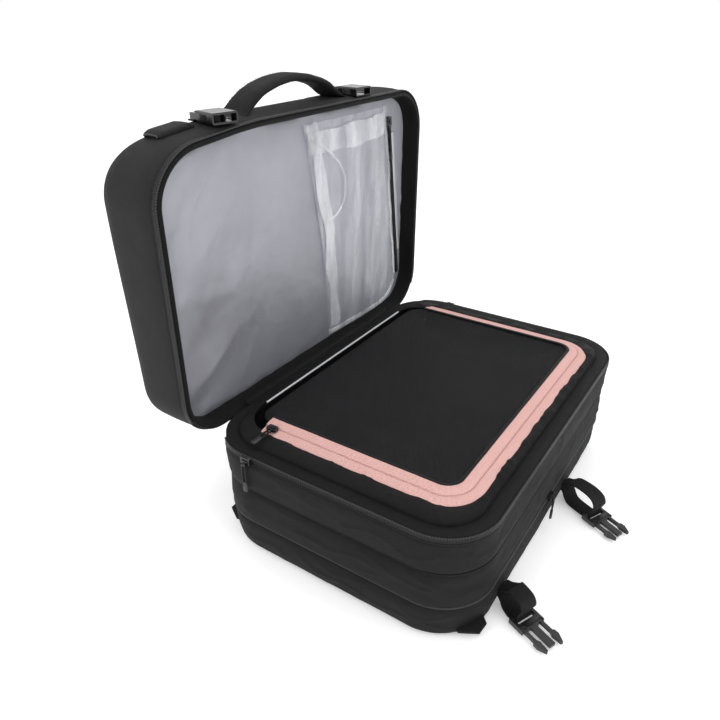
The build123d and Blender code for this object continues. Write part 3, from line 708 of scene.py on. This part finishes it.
def make_mesh_cover():
    """The mesh cover with its pink zip."""
    body_half = (MESH_HALF[0] + 4 - MESH_TAPE / 2, MESH_HALF[1] + 4 - MESH_TAPE / 2)
    flap_half = (body_half[0] - MESH_TAPE - 0.4, body_half[1] - MESH_TAPE - 0.4)
    middle = ((body_half[0] + flap_half[0]) / 2, (body_half[1] + flap_half[1]) / 2)
    z, lean = DOME_Z + 0.75, math.radians(TAPE_LEAN)
    step = (MESH_TAPE + 0.4) / 2 * math.tan(lean)
    for name, half, body, node, rise in (
        ("pink_tape_body", body_half, "main_body", "mesh_zip_tape_body", -step),
        ("pink_tape_flap", flap_half, "mesh_flap", "mesh_zip_tape_flap", step),
    ):
        corner = MESH_CORNER + half[0] - MESH_HALF[0]
        plan, away = three_sides(half, corner, MESH_ZIP_START_X, MESH_MID, 900)
        path = lifted(plan, z + rise)
        path[:, 2] += 0.3 * noise_at(path, 30, 71)
        up = lifted(away * math.sin(lean), math.cos(lean))
        made = sweep(name, path, up, round_section(MESH_TAPE, TAPE * 0.85, 0.5), PINK)
        piece(made, body, "pink_tape", node)
        piece(stitches(name + "_stitches", path + up * 1.05, (0, 0, 1), PINK_THREAD), body, "pink_tape")
    corner = MESH_CORNER + middle[0] - MESH_HALF[0]
    plan, _ = three_sides(middle, corner, MESH_ZIP_START_X, MESH_MID, 1400)
    teeth = coil("pink_zip_teeth", lifted(plan, z + 0.1), (0, 0, 1), 0.95, PINK_COIL)
    piece(teeth, "main_body", "pink_tape")
    edge_half = (flap_half[0] - MESH_TAPE / 2 - 1.6, flap_half[1] - MESH_TAPE / 2 - 1.6)
    corner = MESH_CORNER + edge_half[0] - MESH_HALF[0]
    plan, _ = three_sides(edge_half, corner, MESH_ZIP_START_X, MESH_MID, 700)
    path, section = lifted(plan, DOME_Z + 0.3 + 2 * step), round_section(4.2, 1.2, 0.3)
    made = sweep("mesh_binding", path, (0, 0, 1), section, BINDING)
    piece(made, "mesh_flap", "trim_fabric")
    grid, depth = plan_grid(flap_half, MESH_CORNER - 12, MESH_MID, 5.0)
    rise = 2 * step * eased(depth, 0, 8) * eased(grid[..., 0], -134, -110)
    rows = lifted(grid, DOME_Z - 0.9 + rise - 4.5 * eased(depth, 0, 60))
    rows[..., 2] += 0.8 * np.clip(depth / 60, 0, 1) * noise_at(rows, 60, 83)
    made = skin("mesh_sheet", rows, MESH)
    piece(made, "mesh_flap", "mesh", "mesh_panel")


# ---- lid ------------------------------------------------------------------------------------------
def lid_outline(inset, count=440):
    """The closed lid's outline, set in from its rim, and its outward normals."""
    half = (LID_HALF[0] - inset, LID_HALF[1] - inset)
    return outline(half, LID_CORNERS - inset, count, LID_MID)


def lid_dome(plan):
    """How far the lid's outer edge stands out where it swells, at its free near corner."""
    return LID_DOME * eased(plan[..., 0], -150, 110) * eased(-plan[..., 1], 176, 232)


def lid_outward(plan, away):
    """The open lid's outward direction at each point of an outline."""
    return opened(lifted(plan + away, 0)) - opened(lifted(plan, 0))


def lid_ring(name, inset, z, up_x, section, dome=0.0):
    """Piping that runs right round the lid. A dome of 1 follows the swollen edge."""
    plan, _ = lid_outline(inset, 600)
    path = opened(lifted(plan, z + dome * lid_dome(plan)))
    piece(sweep(name, path, (up_x, 0, 0), section, BINDING, closed=True), "lid", "trim_fabric")


def make_lid_shell():
    """The lid's wall, rounded over into its face, and the piping where they meet."""
    rim, top = LID_RIM_Z, LID_TOP_Z
    profile = [
        (-0.6, rim + 3.4), (-0.2, rim + 6.4), (1.0, rim + 9), (2.4, rim + 19),
        (2.8, rim + 33), (2.2, top - 19),
        (0.8, top - 10), (-2, top - 3.8), (-6, top - 0.6), (-12, top + 0.6), (-17, top + 0.4),
    ]
    rows = []
    plan, away = lid_outline(0)
    hinge = np.clip(-away[:, 0], 0, 1)
    for out, z in curve(profile, 2.6):
        reach = out * (1 - 0.9 * hinge if out > 0 else np.ones(len(hinge)))
        rows.append(lifted(plan + away * reach[:, None], z + lid_dome(plan) * (z - rim) / (top - rim)))
    rows = np.array(rows)
    share = np.clip((rows[..., 2] - rim - 6) / (top - rim - 12), 0, 1)
    free = np.sin(math.pi * share)
    hinge = np.clip(-normals(rows, around=True)[..., 0], 0, 1)
    slow = noise_at(rows, 80, 101, (0.5, 0.5, 1.4))
    small = noise_at(rows, 11, 103)
    rows = relief(rows, free * (1 - hinge) * (0.9 * slow + 0.12 * small), around=True)
    made = skin("lid_wall_cloth", opened(rows), LID_SHELL, around=True)
    piece(made, "lid", "lid_fabric", "lid_wall", pad=0.4)
    grid, depth = plan_grid((LID_HALF[0] - 13.5, LID_HALF[1] - 13.5), LID_CORNERS - 13.5, LID_MID, 5.0)
    swell = 1.6 * (1 - np.exp(-depth / 30))
    face = lifted(grid, top + lid_dome(grid) + swell)
    face[..., 2] += 0.8 * np.clip(depth / 40, 0, 1) * noise_at(face, 90, 107)
    made = skin("lid_face_cloth", opened(face), LID_SHELL)
    piece(made, "lid", "lid_fabric", "lid_face", pad=0.3)
    lid_ring("lid_face_piping", 14.2, top + 0.9, -1, disc(1.3), dome=1.0)


def make_lid_rim():
    """The lid's zip, its rim and the skirt that runs in to the lining."""
    start_x = LID_BACK_X + 26
    profile = [
        (0.4, 5.5), (0.2, 2.5), (1.6, 0.5), (3.6, 0.3), (5.6, 1.6), (6.4, 5), (6.8, 10), (7.6, 15), (8.6, 19),
        (9.2, 23.5),
    ]
    plan, away = lid_outline(0)
    rows = np.array([lifted(plan - away * inset, LID_RIM_Z + z) for inset, z in curve(profile, 1.8)])
    share = np.clip((rows[..., 2] - LID_RIM_Z - 2) / 20, 0, 1)
    free = np.sin(math.pi * share)
    rows = relief(rows, free * (1.6 * noise_at(rows, 26, 113) + 0.3 * noise_at(rows, 8, 117)), around=True)
    made = skin("lid_rim_cloth", opened(rows), BORDER, around=True)
    piece(made, "lid", "shell_fabric", "lid_rim_band")
    plan, away = three_sides(LID_HALF, LID_CORNERS, start_x, LID_MID, 700)
    path = opened(lifted(plan + away * 0.75, LID_RIM_Z + 3.4))
    section = round_section(5.4, ZIP_TAPE_T, 0.2)
    made = sweep("main_zip_tape_upper", path, lid_outward(plan, away), section, ZIP_TAPE)
    piece(made, "lid", "zip_tape", "main_zip_tape_lid")
    plan, away = three_sides(LID_HALF, LID_CORNERS, start_x, LID_MID)
    path = opened(lifted(plan + away * 0.7, LID_RIM_Z + 1.0))
    piece(coil("main_zip_teeth_upper", path, lid_outward(plan, away), 1.2, ZIP_TEETH), "lid", "zip_tape")
    lid_ring("rim_cord_upper", -0.4, LID_RIM_Z + 6.6, -1, disc(1.1, 10))
    lid_ring("rim_cord_inner", 4.4, LID_RIM_Z + 0.6, -1, disc(0.9, 10))


def lining_height(rows, held=1.0):
    """How far the satin stands out from its seam: a soft swelling, hanging folds and drawn ones."""
    x, y = rows[..., 0] - LID_MID[0], rows[..., 1] - LID_MID[1]
    swell = 1.0
    for reach, half in ((x, LID_HALF[0]), (y, LID_HALF[1])):
        swell = swell * (1 - np.exp(-np.maximum(half - 8 - np.abs(reach), 0) / 22))
    leaning = rows @ np.array(Matrix.Rotation(math.radians(38), 3, "Z"))
    hanging = noise_at(rows, 46, 149, (0.14, 1.0, 1)) * eased(x, -80, 120)
    drawn = noise_at(leaning, 36, 137, (0.3, 1.0, 1)) * eased(-y, 30, 200)
    ridges = np.maximum(1 - np.abs(noise_at(leaning, 44, 151, (0.3, 1.0, 1))) * 3.0, 0)
    creases = ridges**2 * eased(-y, 70, 190)
    folds = 4.2 * hanging + 4.8 * drawn + 3.4 * creases + 1.2 * noise_at(rows, 110, 139)
    height = (4.5 * swell + held * folds) * (1 - eased(y, 110, 172))
    return LINING_REACH * np.tanh(height / LINING_REACH)


def make_lining():
    """The satin panel, gathered a little where it is sewn in."""
    inset = 8.6
    half = (LID_HALF[0] - inset, LID_HALF[1] - inset)
    grid, depth = plan_grid(half, LID_CORNERS - inset, LID_MID, 3.2)
    rows = lifted(grid, LINING_Z)
    puckers = noise_at(rows, 13, 131) * np.exp(-depth / 14)
    rows[..., 2] -= lining_height(rows, 1 - np.exp(-depth / 7)) + 1.1 * puckers
    made = skin("lining_sheet", opened(rows), LINING)
    piece(made, "lid", "lining", "lid_lining")
    lid_ring("lining_binding", inset - 0.4, LINING_Z - 0.3, 1, disc(1.3))


def wet_edges():
    """The clear pocket's left, right, lower and upper edges, closed, as X and Y."""
    start, end = WET_ZIP_FROM, WET_ZIP_TO
    top = (start[0] + 20, start[1] - 5)
    low_right = (end[0] - 2, end[1] - 5)
    left = [(start[0] + 20, -6), (start[0] - 40, 4), (start[0] - 130, 20), (end[0] - 30, 30)]
    lower = [left[-1], (end[0] - 33, 60), (end[0] - 36, end[1] - 62), (end[0] - 28, end[1] - 24), low_right]
    return left, [top, low_right], lower, [left[0], top]


def make_wet_pocket():
    """The clear pocket on the lining: a film between its four edges, its welds and its zip."""
    left, right, lower, upper = (curve(edge, 1.0) for edge in wet_edges())
    down, over = np.linspace(0, 1, 76), np.linspace(0, 1, 52)

    def along(line, shares):
        at = np.linspace(0, 1, len(line))
        return np.stack([np.interp(shares, at, line[:, k]) for k in (0, 1)], -1)

    u, v = over[None, :, None], down[:, None, None]
    plan = (1 - v) * along(upper, over)[None] + v * along(lower, over)[None]
    plan = plan + (1 - u) * along(left, down)[:, None] + u * along(right, down)[:, None]
    plan -= (1 - v) * ((1 - u) * upper[0] + u * upper[-1]) + v * ((1 - u) * lower[0] + u * lower[-1])
    rows = lifted(plan, LINING_Z)
    rows[..., 2] -= 1.6 + lining_height(rows)
    edge = np.sin(math.pi * over)[None, :] * np.sin(math.pi * down)[:, None]
    waves = noise_at(rows, 80, 151, (0.35, 1.4, 1)) + 0.3 * noise_at(rows, 30, 157, (0.5, 1.2, 1))
    near_left = np.exp(-over / 0.14)[None, :] * noise_at(rows, 20, 163, (1.0, 0.4, 1))
    swell = 0.6 + 2.4 * eased(edge, 0, 0.4)
    rows[..., 2] -= swell + edge**0.5 * 1.4 * waves + 1.6 * near_left * np.sin(math.pi * down)[:, None]
    made = skin("wet_pocket_sheet", opened(rows), FILM)
    piece(made, "lid", "clear_film", "wet_pocket_film")
    width, length = np.ptp(plan[..., 1]), np.ptp(plan[..., 0])
    loop = ((0.03, 0.05), (0.2, 0.12), (0.31, 0.22), (0.31, 0.33), (0.2, 0.4), (0.08, 0.43))
    loop = np.array([rows[round(v * (len(down) - 1)), round(u * (len(over) - 1))] for u, v in loop])
    for name, line, width in (
        ("weld_left", rows[::4, 4], 19.0), ("weld_bottom", rows[-2, ::4], 7.0),
        ("weld_top", rows[6, ::4], 26.0),
        ("weld_zip", rows[::4, -3], 5.0), ("weld_loop", loop, 4.0),
    ):
        line = curve(line, 1.6)
        line[:, 1] += 4.0 * noise_at(line, 40, 165)
        line[:, 2] -= 1.0 + 0.5 * noise_at(line, 12, 167)
        wide = 1 + 0.35 * noise_at(line, 34, 169)
        section = round_section(width, 0.7, 0.5)[None] * np.stack([wide, np.ones_like(wide)], -1)[:, None]
        made = sweep(name, opened(line), (1, 0, 0), section, WELD)
        piece(made, "lid", "clear_film")
    start, end = np.array(WET_ZIP_FROM), np.array(WET_ZIP_TO)
    path = opened(lifted(np.linspace(start, end, 60), LINING_Z - 2.0))
    made = sweep("wet_pocket_tape", path, (1, 0, 0), round_section(8, 1.4, 0.3), ZIP_TAPE)
    piece(made, "lid", "zip_tape", "wet_pocket_zip_tape")
    facing = opened(lifted(np.linspace(start, end, 60)[4:-9] + (0, 9.5), LINING_Z - 1.0))
    made = sweep("wet_pocket_facing", facing, (1, 0, 0), round_section(6, 0.8, 0.4), SILVER_EDGE)
    piece(made, "lid", "lining")
    piece(coil("wet_pocket_teeth", path + (0.9, 0, 0), (1, 0, 0), 1.0, ZIP_TEETH), "lid", "zip_tape")


def make_front_pocket():
    """The zip on the lid's outer face, between two stitched edges."""
    ends = ((FRONT_ZIP_X, -FRONT_ZIP_HALF), (FRONT_ZIP_X, FRONT_ZIP_HALF))
    path = opened(lifted(np.linspace(*ends, 90), FRONT_ZIP_Z))
    made = sweep("front_pocket_tape", path, (-1, 0, 0), round_section(12, 1.5, 0.2), ZIP_TAPE)
    piece(made, "lid", "zip_tape", "front_zip_tape")
    piece(coil("front_pocket_teeth", path - (0.8, 0, 0), (-1, 0, 0), 1.1, ZIP_TEETH), "lid", "zip_tape")
    reach = FRONT_ZIP_HALF + 4
    for k, x in enumerate((FRONT_ZIP_X - 8.5, FRONT_ZIP_X + 8.5)):
        line = opened(lifted(np.linspace((x, -reach), (x, reach), 60), FRONT_ZIP_Z + 0.2))
        made = sweep(f"front_pocket_edge_{k}", line, (-1, 0, 0), round_section(5, 1.3, 0.5), LID_SHELL)
        piece(made, "lid", "lid_fabric")


def make_hinges():
    """The lid's cloth hinge with its piping, and the mesh cover's bound edge."""
    y = np.linspace(-HINGE_HALF, HINGE_HALF, 120)
    under = [
        (-154.9, -20.5), (-155.2, -15.5), (-157.2, -11.5), (-157.9, -8), (-159.2, -5.4), (-163, -4.4),
        (-172, -4.1),
    ]
    inside = [(-149, 6.6), (-152.5, 6.3), (-155, 5.6), (-157.4, 5.8), (-159.2, 8.2), (-159.6, 12)]
    for name, route, start, end in (("hinge_cloth", under, 2, 5), ("hinge_gusset", inside, 1, 4)):
        line = curve(np.array(route) + (0, HINGE_Z), 0.8)
        rows = np.stack([np.stack([np.full_like(y, x), y, np.full_like(y, z)], -1) for x, z in line])
        rows[..., 0] += 0.35 * noise_at(rows, 12, 173)
        made = skin(name, rows, BINDING)
        piece(made, None, "trim_fabric")
        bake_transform(made)
    for names, place, section, look in (
        (("hinge_cord", "hinge_piping"), (-HALF[0] - 1.6, HINGE_HALF, HINGE_Z - 9.5), disc(1.5, 12),
         (BINDING, "trim_fabric")),
        (("flap_hinge_cord", "flap_hinge_binding"), (FLAP_HINGE_X, FLAP_HINGE_HALF, DOME_Z - 0.75),
         disc(1.2, 10),
         (SILVER_EDGE, "lining")),
    ):
        path = np.linspace(np.array(place) * (1, -1, 1), place, 90)
        piece(sweep(names[0], path, (0, 0, 1), section, look[0]), "main_body", look[1], names[1])


# ---- handles --------------------------------------------------------------------------------------
def make_handle(node, place, half, rise, width, thickness, foot):
    """A padded handle with sewn feet, drawn along Y and standing in +X."""
    arch = [
        (0.9, -half - foot), (0.9, -half - 1), (5, -half + 9), (rise * 0.62, -half * 0.62),
        (rise - thickness / 2, -half * 0.2),
    ]
    arch = arch + [(x, -y) for x, y in reversed(arch)]
    line = curve(arch, 2.2)
    path = lifted(line, 0.0)
    soft = eased(half - np.abs(line[:, 1]), 0, 16)
    angles = np.linspace(0, 2 * math.pi, 28, endpoint=False)
    across = np.sign(np.cos(angles)) * np.abs(np.cos(angles)) ** 0.55
    up = np.sign(np.sin(angles)) * np.abs(np.sin(angles)) ** 0.8
    wide = width / 2 * (1 - 0.13 * soft)
    tall = 0.9 + soft * (thickness * 0.72 - 0.9)
    section = np.stack([across[None] * wide[:, None], up[None] * tall[:, None]], -1)
    made = sweep(f"{node}_pad", path, HANDLE_UP, section, HANDLE_CLOTH)
    points = np.array([v.co for v in made.data.vertices]) / MM
    crumple = noise_at(points, 15, 181, (1, 1.6, 1)) + 0.5 * noise_at(points, 7, 183)
    middle = np.repeat(path, len(angles), 0)
    points += unit(points - middle) * (0.55 * crumple * np.repeat(soft, len(angles)))[:, None]
    made.data.vertices.foreach_set("co", (points * MM).ravel())
    made.data.transform(place)
    made.data.update()
    bpy.context.view_layer.update()
    piece(made, None, "lid_fabric", pad=0.7)
    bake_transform(made)
    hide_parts(node)
    _, rise_at = sides(path, HANDLE_UP)
    lines = []
    for side in (-1, 1):
        edge = path + (0, 0, side * width * 0.36) + rise_at * (tall[:, None] * 0.93)
        lines.append(stitches(f"{node}_pad_stitches_{side}", edge, HANDLE_UP, THREAD))
    seam = joined(f"{node}_pad_stitches", lines)
    seam.data.transform(place)
    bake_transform(seam)


def make_handles():
    """The lid's handle on its buckle side, and the pack's grab handle."""
    centre = (HANDLE_X, HANDLE_Y, LID_OPEN_TOP + 0.6)
    place = Matrix.Translation(Vector(centre) * MM) @ Matrix.Rotation(math.radians(-90), 4, "Y")
    make_handle("side_handle", place, HANDLE_HALF, HANDLE_RISE + ANCHOR_T, HANDLE_W, HANDLE_T, 8)
    place = local_frame((0, MIDDLE_HALF[1] + 0.8, TOP_HANDLE_Z), 90)
    rise = TOP_HANDLE_RISE + ANCHOR_T
    make_handle("top_handle", place, TOP_HANDLE_HALF, rise, TOP_HANDLE_W, TOP_HANDLE_T, 6)


def box_stitch(name, place, width, length):
    """A box of stitches with a cross in it, drawn in the local XY plane."""
    a, b = width / 2, length / 2
    corners = [(-a, -b), (a, -b), (a, b), (-a, b), (-a, -b), (a, b), (-a, b), (a, -b)]
    lines = []
    for start, end in zip(corners, corners[1:]):
        path = np.linspace((*start, 0), (*end, 0), 20)
        lines.append(stitches(f"{name}_{len(lines)}", path, np.array((0, 0, 1)), THREAD, 2.2, 1.0, 0.25))
    return moved(joined(name, lines), place)


def make_anchors():
    """The sewn patches that the handles' feet stand on."""
    def patch(half, corner, centre, base):
        grid, depth = plan_grid(half, corner, centre, 1.6)
        return grid, base + ANCHOR_T * np.clip(depth / 1.5, 0, 1) ** 0.5

    for k, side in enumerate((-1, 1)):
        centre = (HANDLE_X, HANDLE_Y + side * (HANDLE_HALF - 12))
        rows = lifted(*patch((22, 18), 4, centre, LID_OPEN_TOP + 0.2))
        made = skin(f"side_handle_patch_{k}", rows, HANDLE_CLOTH)
        piece(made, "lid", "lid_fabric", *only_first(k, "side_handle_anchors"))
        foot = (HANDLE_X, HANDLE_Y + side * (HANDLE_HALF + 3), LID_OPEN_TOP + 2.4)
        piece(box_stitch(f"side_handle_box_{k}", local_frame(foot, 0), 24, 7), "lid", "trim_fabric")
        grid, out = patch((14, 13), 3, (side * 64, TOP_HANDLE_Z), MIDDLE_HALF[1] + 0.3)
        rows = np.stack([grid[..., 0], out, grid[..., 1]], -1)
        made = skin(f"top_handle_patch_{k}", rows, HANDLE_CLOTH)
        piece(made, "main_body", "shell_fabric", *only_first(k, "top_handle_anchors"))


# ---- straps and hardware --------------------------------------------------------------------------
def make_compression_strap(name):
    """The doubled webbing out to the male buckle: a flat run, a turn round the bar and a slack arch."""
    y, turn, reach = STRAPS[name]
    place = local_frame((STRAP_ROOT_X, y, 0), turn)
    low = BAR_Z - 3.2
    route = [
        (-6, 17.5), (-1, 15.5), (3.5, 12), (8, 5.5), (15, low + 0.2), (reach - 6, low), (reach, low),
        (reach + 3.1, BAR_Z), (reach + 1.8, BAR_Z + 3.4), (reach + 3.6, BAR_Z + 10),
        (reach + 6.4, BAR_Z + 18),
        (reach + 1.5, BAR_Z + 25.4),
        (reach - 12, BAR_Z + 28), (11, BAR_Z + 25.6), (3.5, BAR_Z + 19.5), (-1, 21.5), (-6, 19.5),
    ]
    section = on_edge(WEBBING_W, WEBBING_T - 0.3)
    made = moved(sweep(f"webbing_{name}", upright(curve(route, 1.2)), (0, 1, 0), section, WEB), place)
    piece(made, f"compression_strap_{name}", "webbing", f"compression_webbing_{name}")


def bar_place(name):
    """The female buckle's bar as its joint has it: origin, bar direction along Y, and up."""
    joint = joints[f"female_buckle_{name}_swing"]
    along = Vector(joint["axis"]).normalized()
    if along.y < 0:
        along = -along
    up = Vector((0, 0, 1))
    turn = Matrix((along.cross(up), along, up)).transposed().to_4x4()
    return Matrix.Translation(joint["pos_m"]) @ turn


def make_female_webbing(name):
    """The short loop that holds the female buckle: two sewn feet and a turn round the bar."""
    route = [
        (-15, -6.0), (-9, -5.9), (-5.2, -5.4), (-3.4, -3), (-3.1, 0),
        (-1.6, 2.7), (1.6, 2.7), (3.1, 0), (3.3, -3),
        (4.6, -5.4), (7, -5.9),
    ]
    section = on_edge(WEBBING_W, WEBBING_T - 0.3)
    made = sweep(f"female_loop_{name}", upright(curve(route, 0.9)), (0, 1, 0), section, WEB)
    moved(made, bar_place(name))
    piece(made, "lid", "webbing", f"female_webbing_{name}")


def make_keeper():
    """The folded webbing tab beside the near buckle, with a slim wire loop in its near end."""
    plan, away = three_sides(LID_HALF, LID_CORNERS, 0, LID_MID)
    keep = (plan[:, 1] > KEEPER_Y[0]) & (plan[:, 1] < KEEPER_Y[1])
    plan, away = plan[keep], away[keep]
    path = opened(lifted(plan + away * 3.8, KEEPER_Z))
    out = lid_outward(plan, away)
    end = np.minimum(np.arange(len(path)), np.arange(len(path))[::-1]) / 5
    tall = 0.35 + 0.65 * np.sqrt(np.clip(end, 0, 1))
    section = round_section(KEEPER_W, 6.6, 0.8)[None] * np.stack([0.86 + 0.14 * tall, tall], -1)[:, None]
    piece(sweep("keeper_tab", path, out, section, LID_SHELL), "lid", "webbing", "strap_keeper")
    near = int(np.argmin(path[:, 1]))
    centre, rise = path[near] + (path[near] - path[len(path) // 2]) * 0.04, unit(out[near])
    bends = ((-8, -1.4), (-8, 1.2), (0, 1.8), (8, 1.2), (8, -1.4))
    wire = [centre + np.array((x, 0, 0)) + rise * z for x, z in bends]
    piece(sweep("keeper_wire", curve(wire, 0.8), (0, -1, 0), disc(0.9, 10), METAL), "lid", "slider_metal")


def make_pull(name):
    """A zip pull: an eye on its pivot, two cords side by side and a moulded grip at the end."""
    joint = joints[f"{name}_pull_swing"]
    node = f"{name}_pull"
    points = np.array([v.co for v in nodes[node].data.vertices]) / MM
    pivot = np.array(joint["pos_m"]) / MM
    axis = unit(np.array(joint["axis"], float))
    down = points.mean(0) - pivot
    down = unit(down - axis * (down @ axis))
    length = float(((points - pivot) @ down).max())
    face = np.cross(axis, down)

    def at(route):
        return np.array([pivot + axis * a + down * d + face * f for a, d, f in route])

    gap = 1.7
    loop = [
        (0.8, 0.0, 0), (gap, 3.5, 0.2), (gap + 0.2, length * 0.5, 0.5), (gap, length - 4, 0.2),
        (1.1, length - 1.6, 0), (0, length - 1.1, 0),
    ]
    loop = loop + [(-a, d, -f * 0.4) for a, d, f in reversed(loop[:-1])]
    cord = sweep(f"{name}_cord", curve(at(loop), 0.8), face, disc(1.05, 8), CORD)
    grip_path = at([(0, length - back, 0) for back in (13, 11, 6, 3, 1)])
    widths = np.array([1.9, 3.1, 3.4, 3.3, 2.4])
    section = np.stack([disc(1.0, 14) * (w, 1.45) for w in widths])
    grip = sweep(f"{name}_grip", grip_path, face, section, RUBBER)
    eye = sweep(f"{name}_eye", at([(-2.4, 0, 0), (0, 0, 0), (2.4, 0, 0)]), face, disc(1.35, 10), METAL)
    piece(cord, node, "pull_cord", node)
    piece(grip, node, "pull_cord")
    piece(eye, node, "slider_metal")


def finish_hard_parts():
    """Rounds the edges of the CAD hardware and gives it its materials."""
    looks = {
        "male_buckle": (MATT_PLASTIC, 0.6), "buckle_prong": (MATT_PLASTIC, 0.5),
        "female_buckle": (PLASTIC, 0.7),
        "strap_ladder_locks": (MATT_PLASTIC, 0.6), "frame_sheet": (BOARD, 0.5),
    }
    for node, made in nodes.items():
        found = [look for prefix, look in looks.items() if node.startswith(prefix)]
        if node.endswith("_slider"):
            found = [(METAL, 0.45)]
        if not found:
            continue
        material, width = found[0]
        made.data.materials.clear()
        made.data.materials.append(material)
        made.modifiers.new("weld", "WELD").merge_threshold = 0.00002
        bevel = made.modifiers.new("bevel", "BEVEL")
        bevel.width, bevel.segments, bevel.limit_method = width * MM, 3, "ANGLE"
        bevel.angle_limit = math.radians(35)
        bevel.use_clamp_overlap = True
        made.modifiers.new("normals", "WEIGHTED_NORMAL").keep_sharp = True


# ---- back and inside ------------------------------------------------------------------------------
def slab_skin(name, half, corner, low, high, material, centre=(0.0, 0.0), edge=4.0, swell=0.0, quilt=0.0):
    """A closed pad with rounded edges: a skin over the top, which may swell or be quilted, and one under."""
    grid, depth = plan_grid(half, corner, centre, 5.0)
    middle, thick = (low + high) / 2, (high - low) / 2
    ease = np.sqrt(np.clip(1 - (1 - np.clip(depth / edge, 0, 1)) ** 2, 0, 1))
    soft = swell * (1 - np.exp(-depth / 14))
    top = lifted(grid, middle + (thick - swell) * ease + soft)
    top[..., 2] += quilt * np.clip(depth / 12, 0, 1) * noise_at(top, 24, 217)
    bottom = lifted(grid, middle - thick * ease)
    return joined(name, [skin(name, top, material), skin(f"{name}_under", bottom, material)])


def make_pads():
    """The back: contact pads, padded panel and stowed shoulder straps."""
    for k, (centre, half, corner) in enumerate(BACK_PADS):
        made = slab_skin(f"back_pad_{k}", half, corner, 0.4, PAD_TOP_Z + 0.6, AIR_MESH, centre, edge=6.0)
        inflated(made, PAD_CAP)
        piece(made, "main_body", "foam_pad", *only_first(k, "back_pads"), pad=0.7)
    half = (LOW_HALF[0] - 3, LOW_HALF[1] - 3)
    made = slab_skin("back_panel_pad", half, CORNER - 3, PAD_TOP_Z, PANEL_TOP_Z, AIR_MESH, edge=3.0)
    piece(made, "main_body", "foam_pad", "back_panel", pad=0.6)
    for name, side in (("left", -1), ("right", 1)):
        centre = (side * SHOULDER_X, (SHOULDER_Y[0] + SHOULDER_Y[1]) / 2)
        half = (29, (SHOULDER_Y[1] - SHOULDER_Y[0]) / 2)
        made = slab_skin(f"shoulder_pad_{name}", half, 20, 1.0, PAD_TOP_Z - 0.5, AIR_MESH, centre, edge=5.0)
        inflated(made, SHOULDER_CAP)
        piece(made, "main_body", "foam_pad", f"shoulder_strap_{name}", pad=0.7)


def make_lower_straps():
    """Webbing from the shoulder straps' adjusters to the wings at the pack's lower corners."""
    made, wings = [], []
    for side in (-1, 1):
        start = np.array((SHOULDER_X, SHOULDER_Y[0], 6.0))
        end = np.array((*WING_POINT, 6.0))
        ahead = unit(end - start)
        line = np.linspace(start + ahead * (LOCK_REACH + 6.5), end, 40) * (side, 1, 1)
        made.append(sweep(f"lower_webbing_{side}", line, (0, 0, 1), round_section(WEBBING_W, WEBBING_T), WEB))
        corners = np.array(WING_CORNERS, float)
        middle = corners.mean(0)
        rows = []
        for scale, z in ((1.0, 9.5), (0.99, 10.6), (0.94, 11.1), (0.5, 11.3), (0.06, 11.3)):
            rows.append(lifted((middle + (corners - middle) * scale) * (side, 1), z))
        under = [row * (1, 1, 0) + (0, 0, 19 - row[0, 2]) for row in reversed(rows)]
        rows = np.array(under + rows[1:])
        wings.append(skin(f"wing_{side}", rows, SHELL, around=True, ends=True))
    piece(joined("lower_webbing", made), "main_body", "webbing", "strap_lower_webbing")
    piece(joined("strap_wing_cloth", wings), "main_body", "shell_fabric", "strap_wings")


def make_inside():
    """What shows through the mesh: the compartment's lining and the padded divider that is its floor."""
    plan, _ = outline((HALF[0] - 5, HALF[1] - 7), CORNER - 5, 360)
    rows = np.array([lifted(plan, z) for z in np.linspace(DIVIDER_Z[1] - 3, RIM_Z - 2, 30)])
    height = 1.6 * noise_at(rows, 40, 211, (1, 1, 0.5)) + 0.7 * noise_at(rows, 15, 213)
    made = skin("liner_cloth", relief(rows, height - 1.0, around=True), INSIDE, around=True)
    piece(made, "main_body", "shell_fabric", "main_liner")
    half = (LOW_HALF[0] - 3.5, LOW_HALF[1] - 3.5)
    made = slab_skin("divider_pad", half, CORNER - 3, *DIVIDER_Z, INSIDE, swell=0.8, quilt=0.5)
    piece(made, "main_body", "shell_fabric", "laptop_divider", pad=0.5)


# ---- stage ----------------------------------------------------------------------------------------
def make_stage():
    """A white floor, a white surrounding and three soft lights."""
    look = Shader("floor", (0.93, 0.93, 0.93), 0.9, Emission_Strength=0.25, Emission_Color=(1, 1, 1, 1))
    look.shades(look.grain(look.place(), 0.8), 0.995, 1.005)
    reach = np.stack(np.meshgrid((-9000.0, 9000.0), (-9000.0, 9000.0)), -1)
    skin("floor", lifted(reach, -0.6), look.material)
    world = bpy.data.worlds.new("studio")
    world.use_nodes = True
    world.node_tree.nodes["Background"].inputs["Color"].default_value = (1, 1, 1, 1)
    bpy.context.scene.world = world
    for name, place, power, size in (
        ("key", (-0.7, -1.9, 1.9), 15, 1.2), ("side", (1.9, -0.4, 1.5), 8, 1.2),
        ("top", (0.1, 0.6, 2.4), 11, 1.6),
    ):
        data = bpy.data.lights.new(name, "AREA")
        data.energy, data.size = power, size
        light = bpy.data.objects.new(name, data)
        light.location = place
        light.rotation_mode = "QUATERNION"
        light.rotation_quaternion = (Vector((-0.05, 0, 0.15)) - Vector(place)).to_track_quat("-Z", "Y")
        bpy.context.scene.collection.objects.link(light)


make_camera()
make_body_shell()
make_seams()
make_border()
make_mesh_cover()
make_lid_shell()
make_lid_rim()
make_lining()
make_wet_pocket()
make_front_pocket()
make_hinges()
make_handles()
make_anchors()
for strap in STRAPS:
    make_compression_strap(strap)
    make_female_webbing(strap)
make_keeper()
for slider in ("main_near", "main_far", "mesh", "laptop", "wet_pocket", "front_pocket"):
    make_pull(slider)
finish_hard_parts()
make_pads()
make_lower_straps()
make_inside()
make_stage()
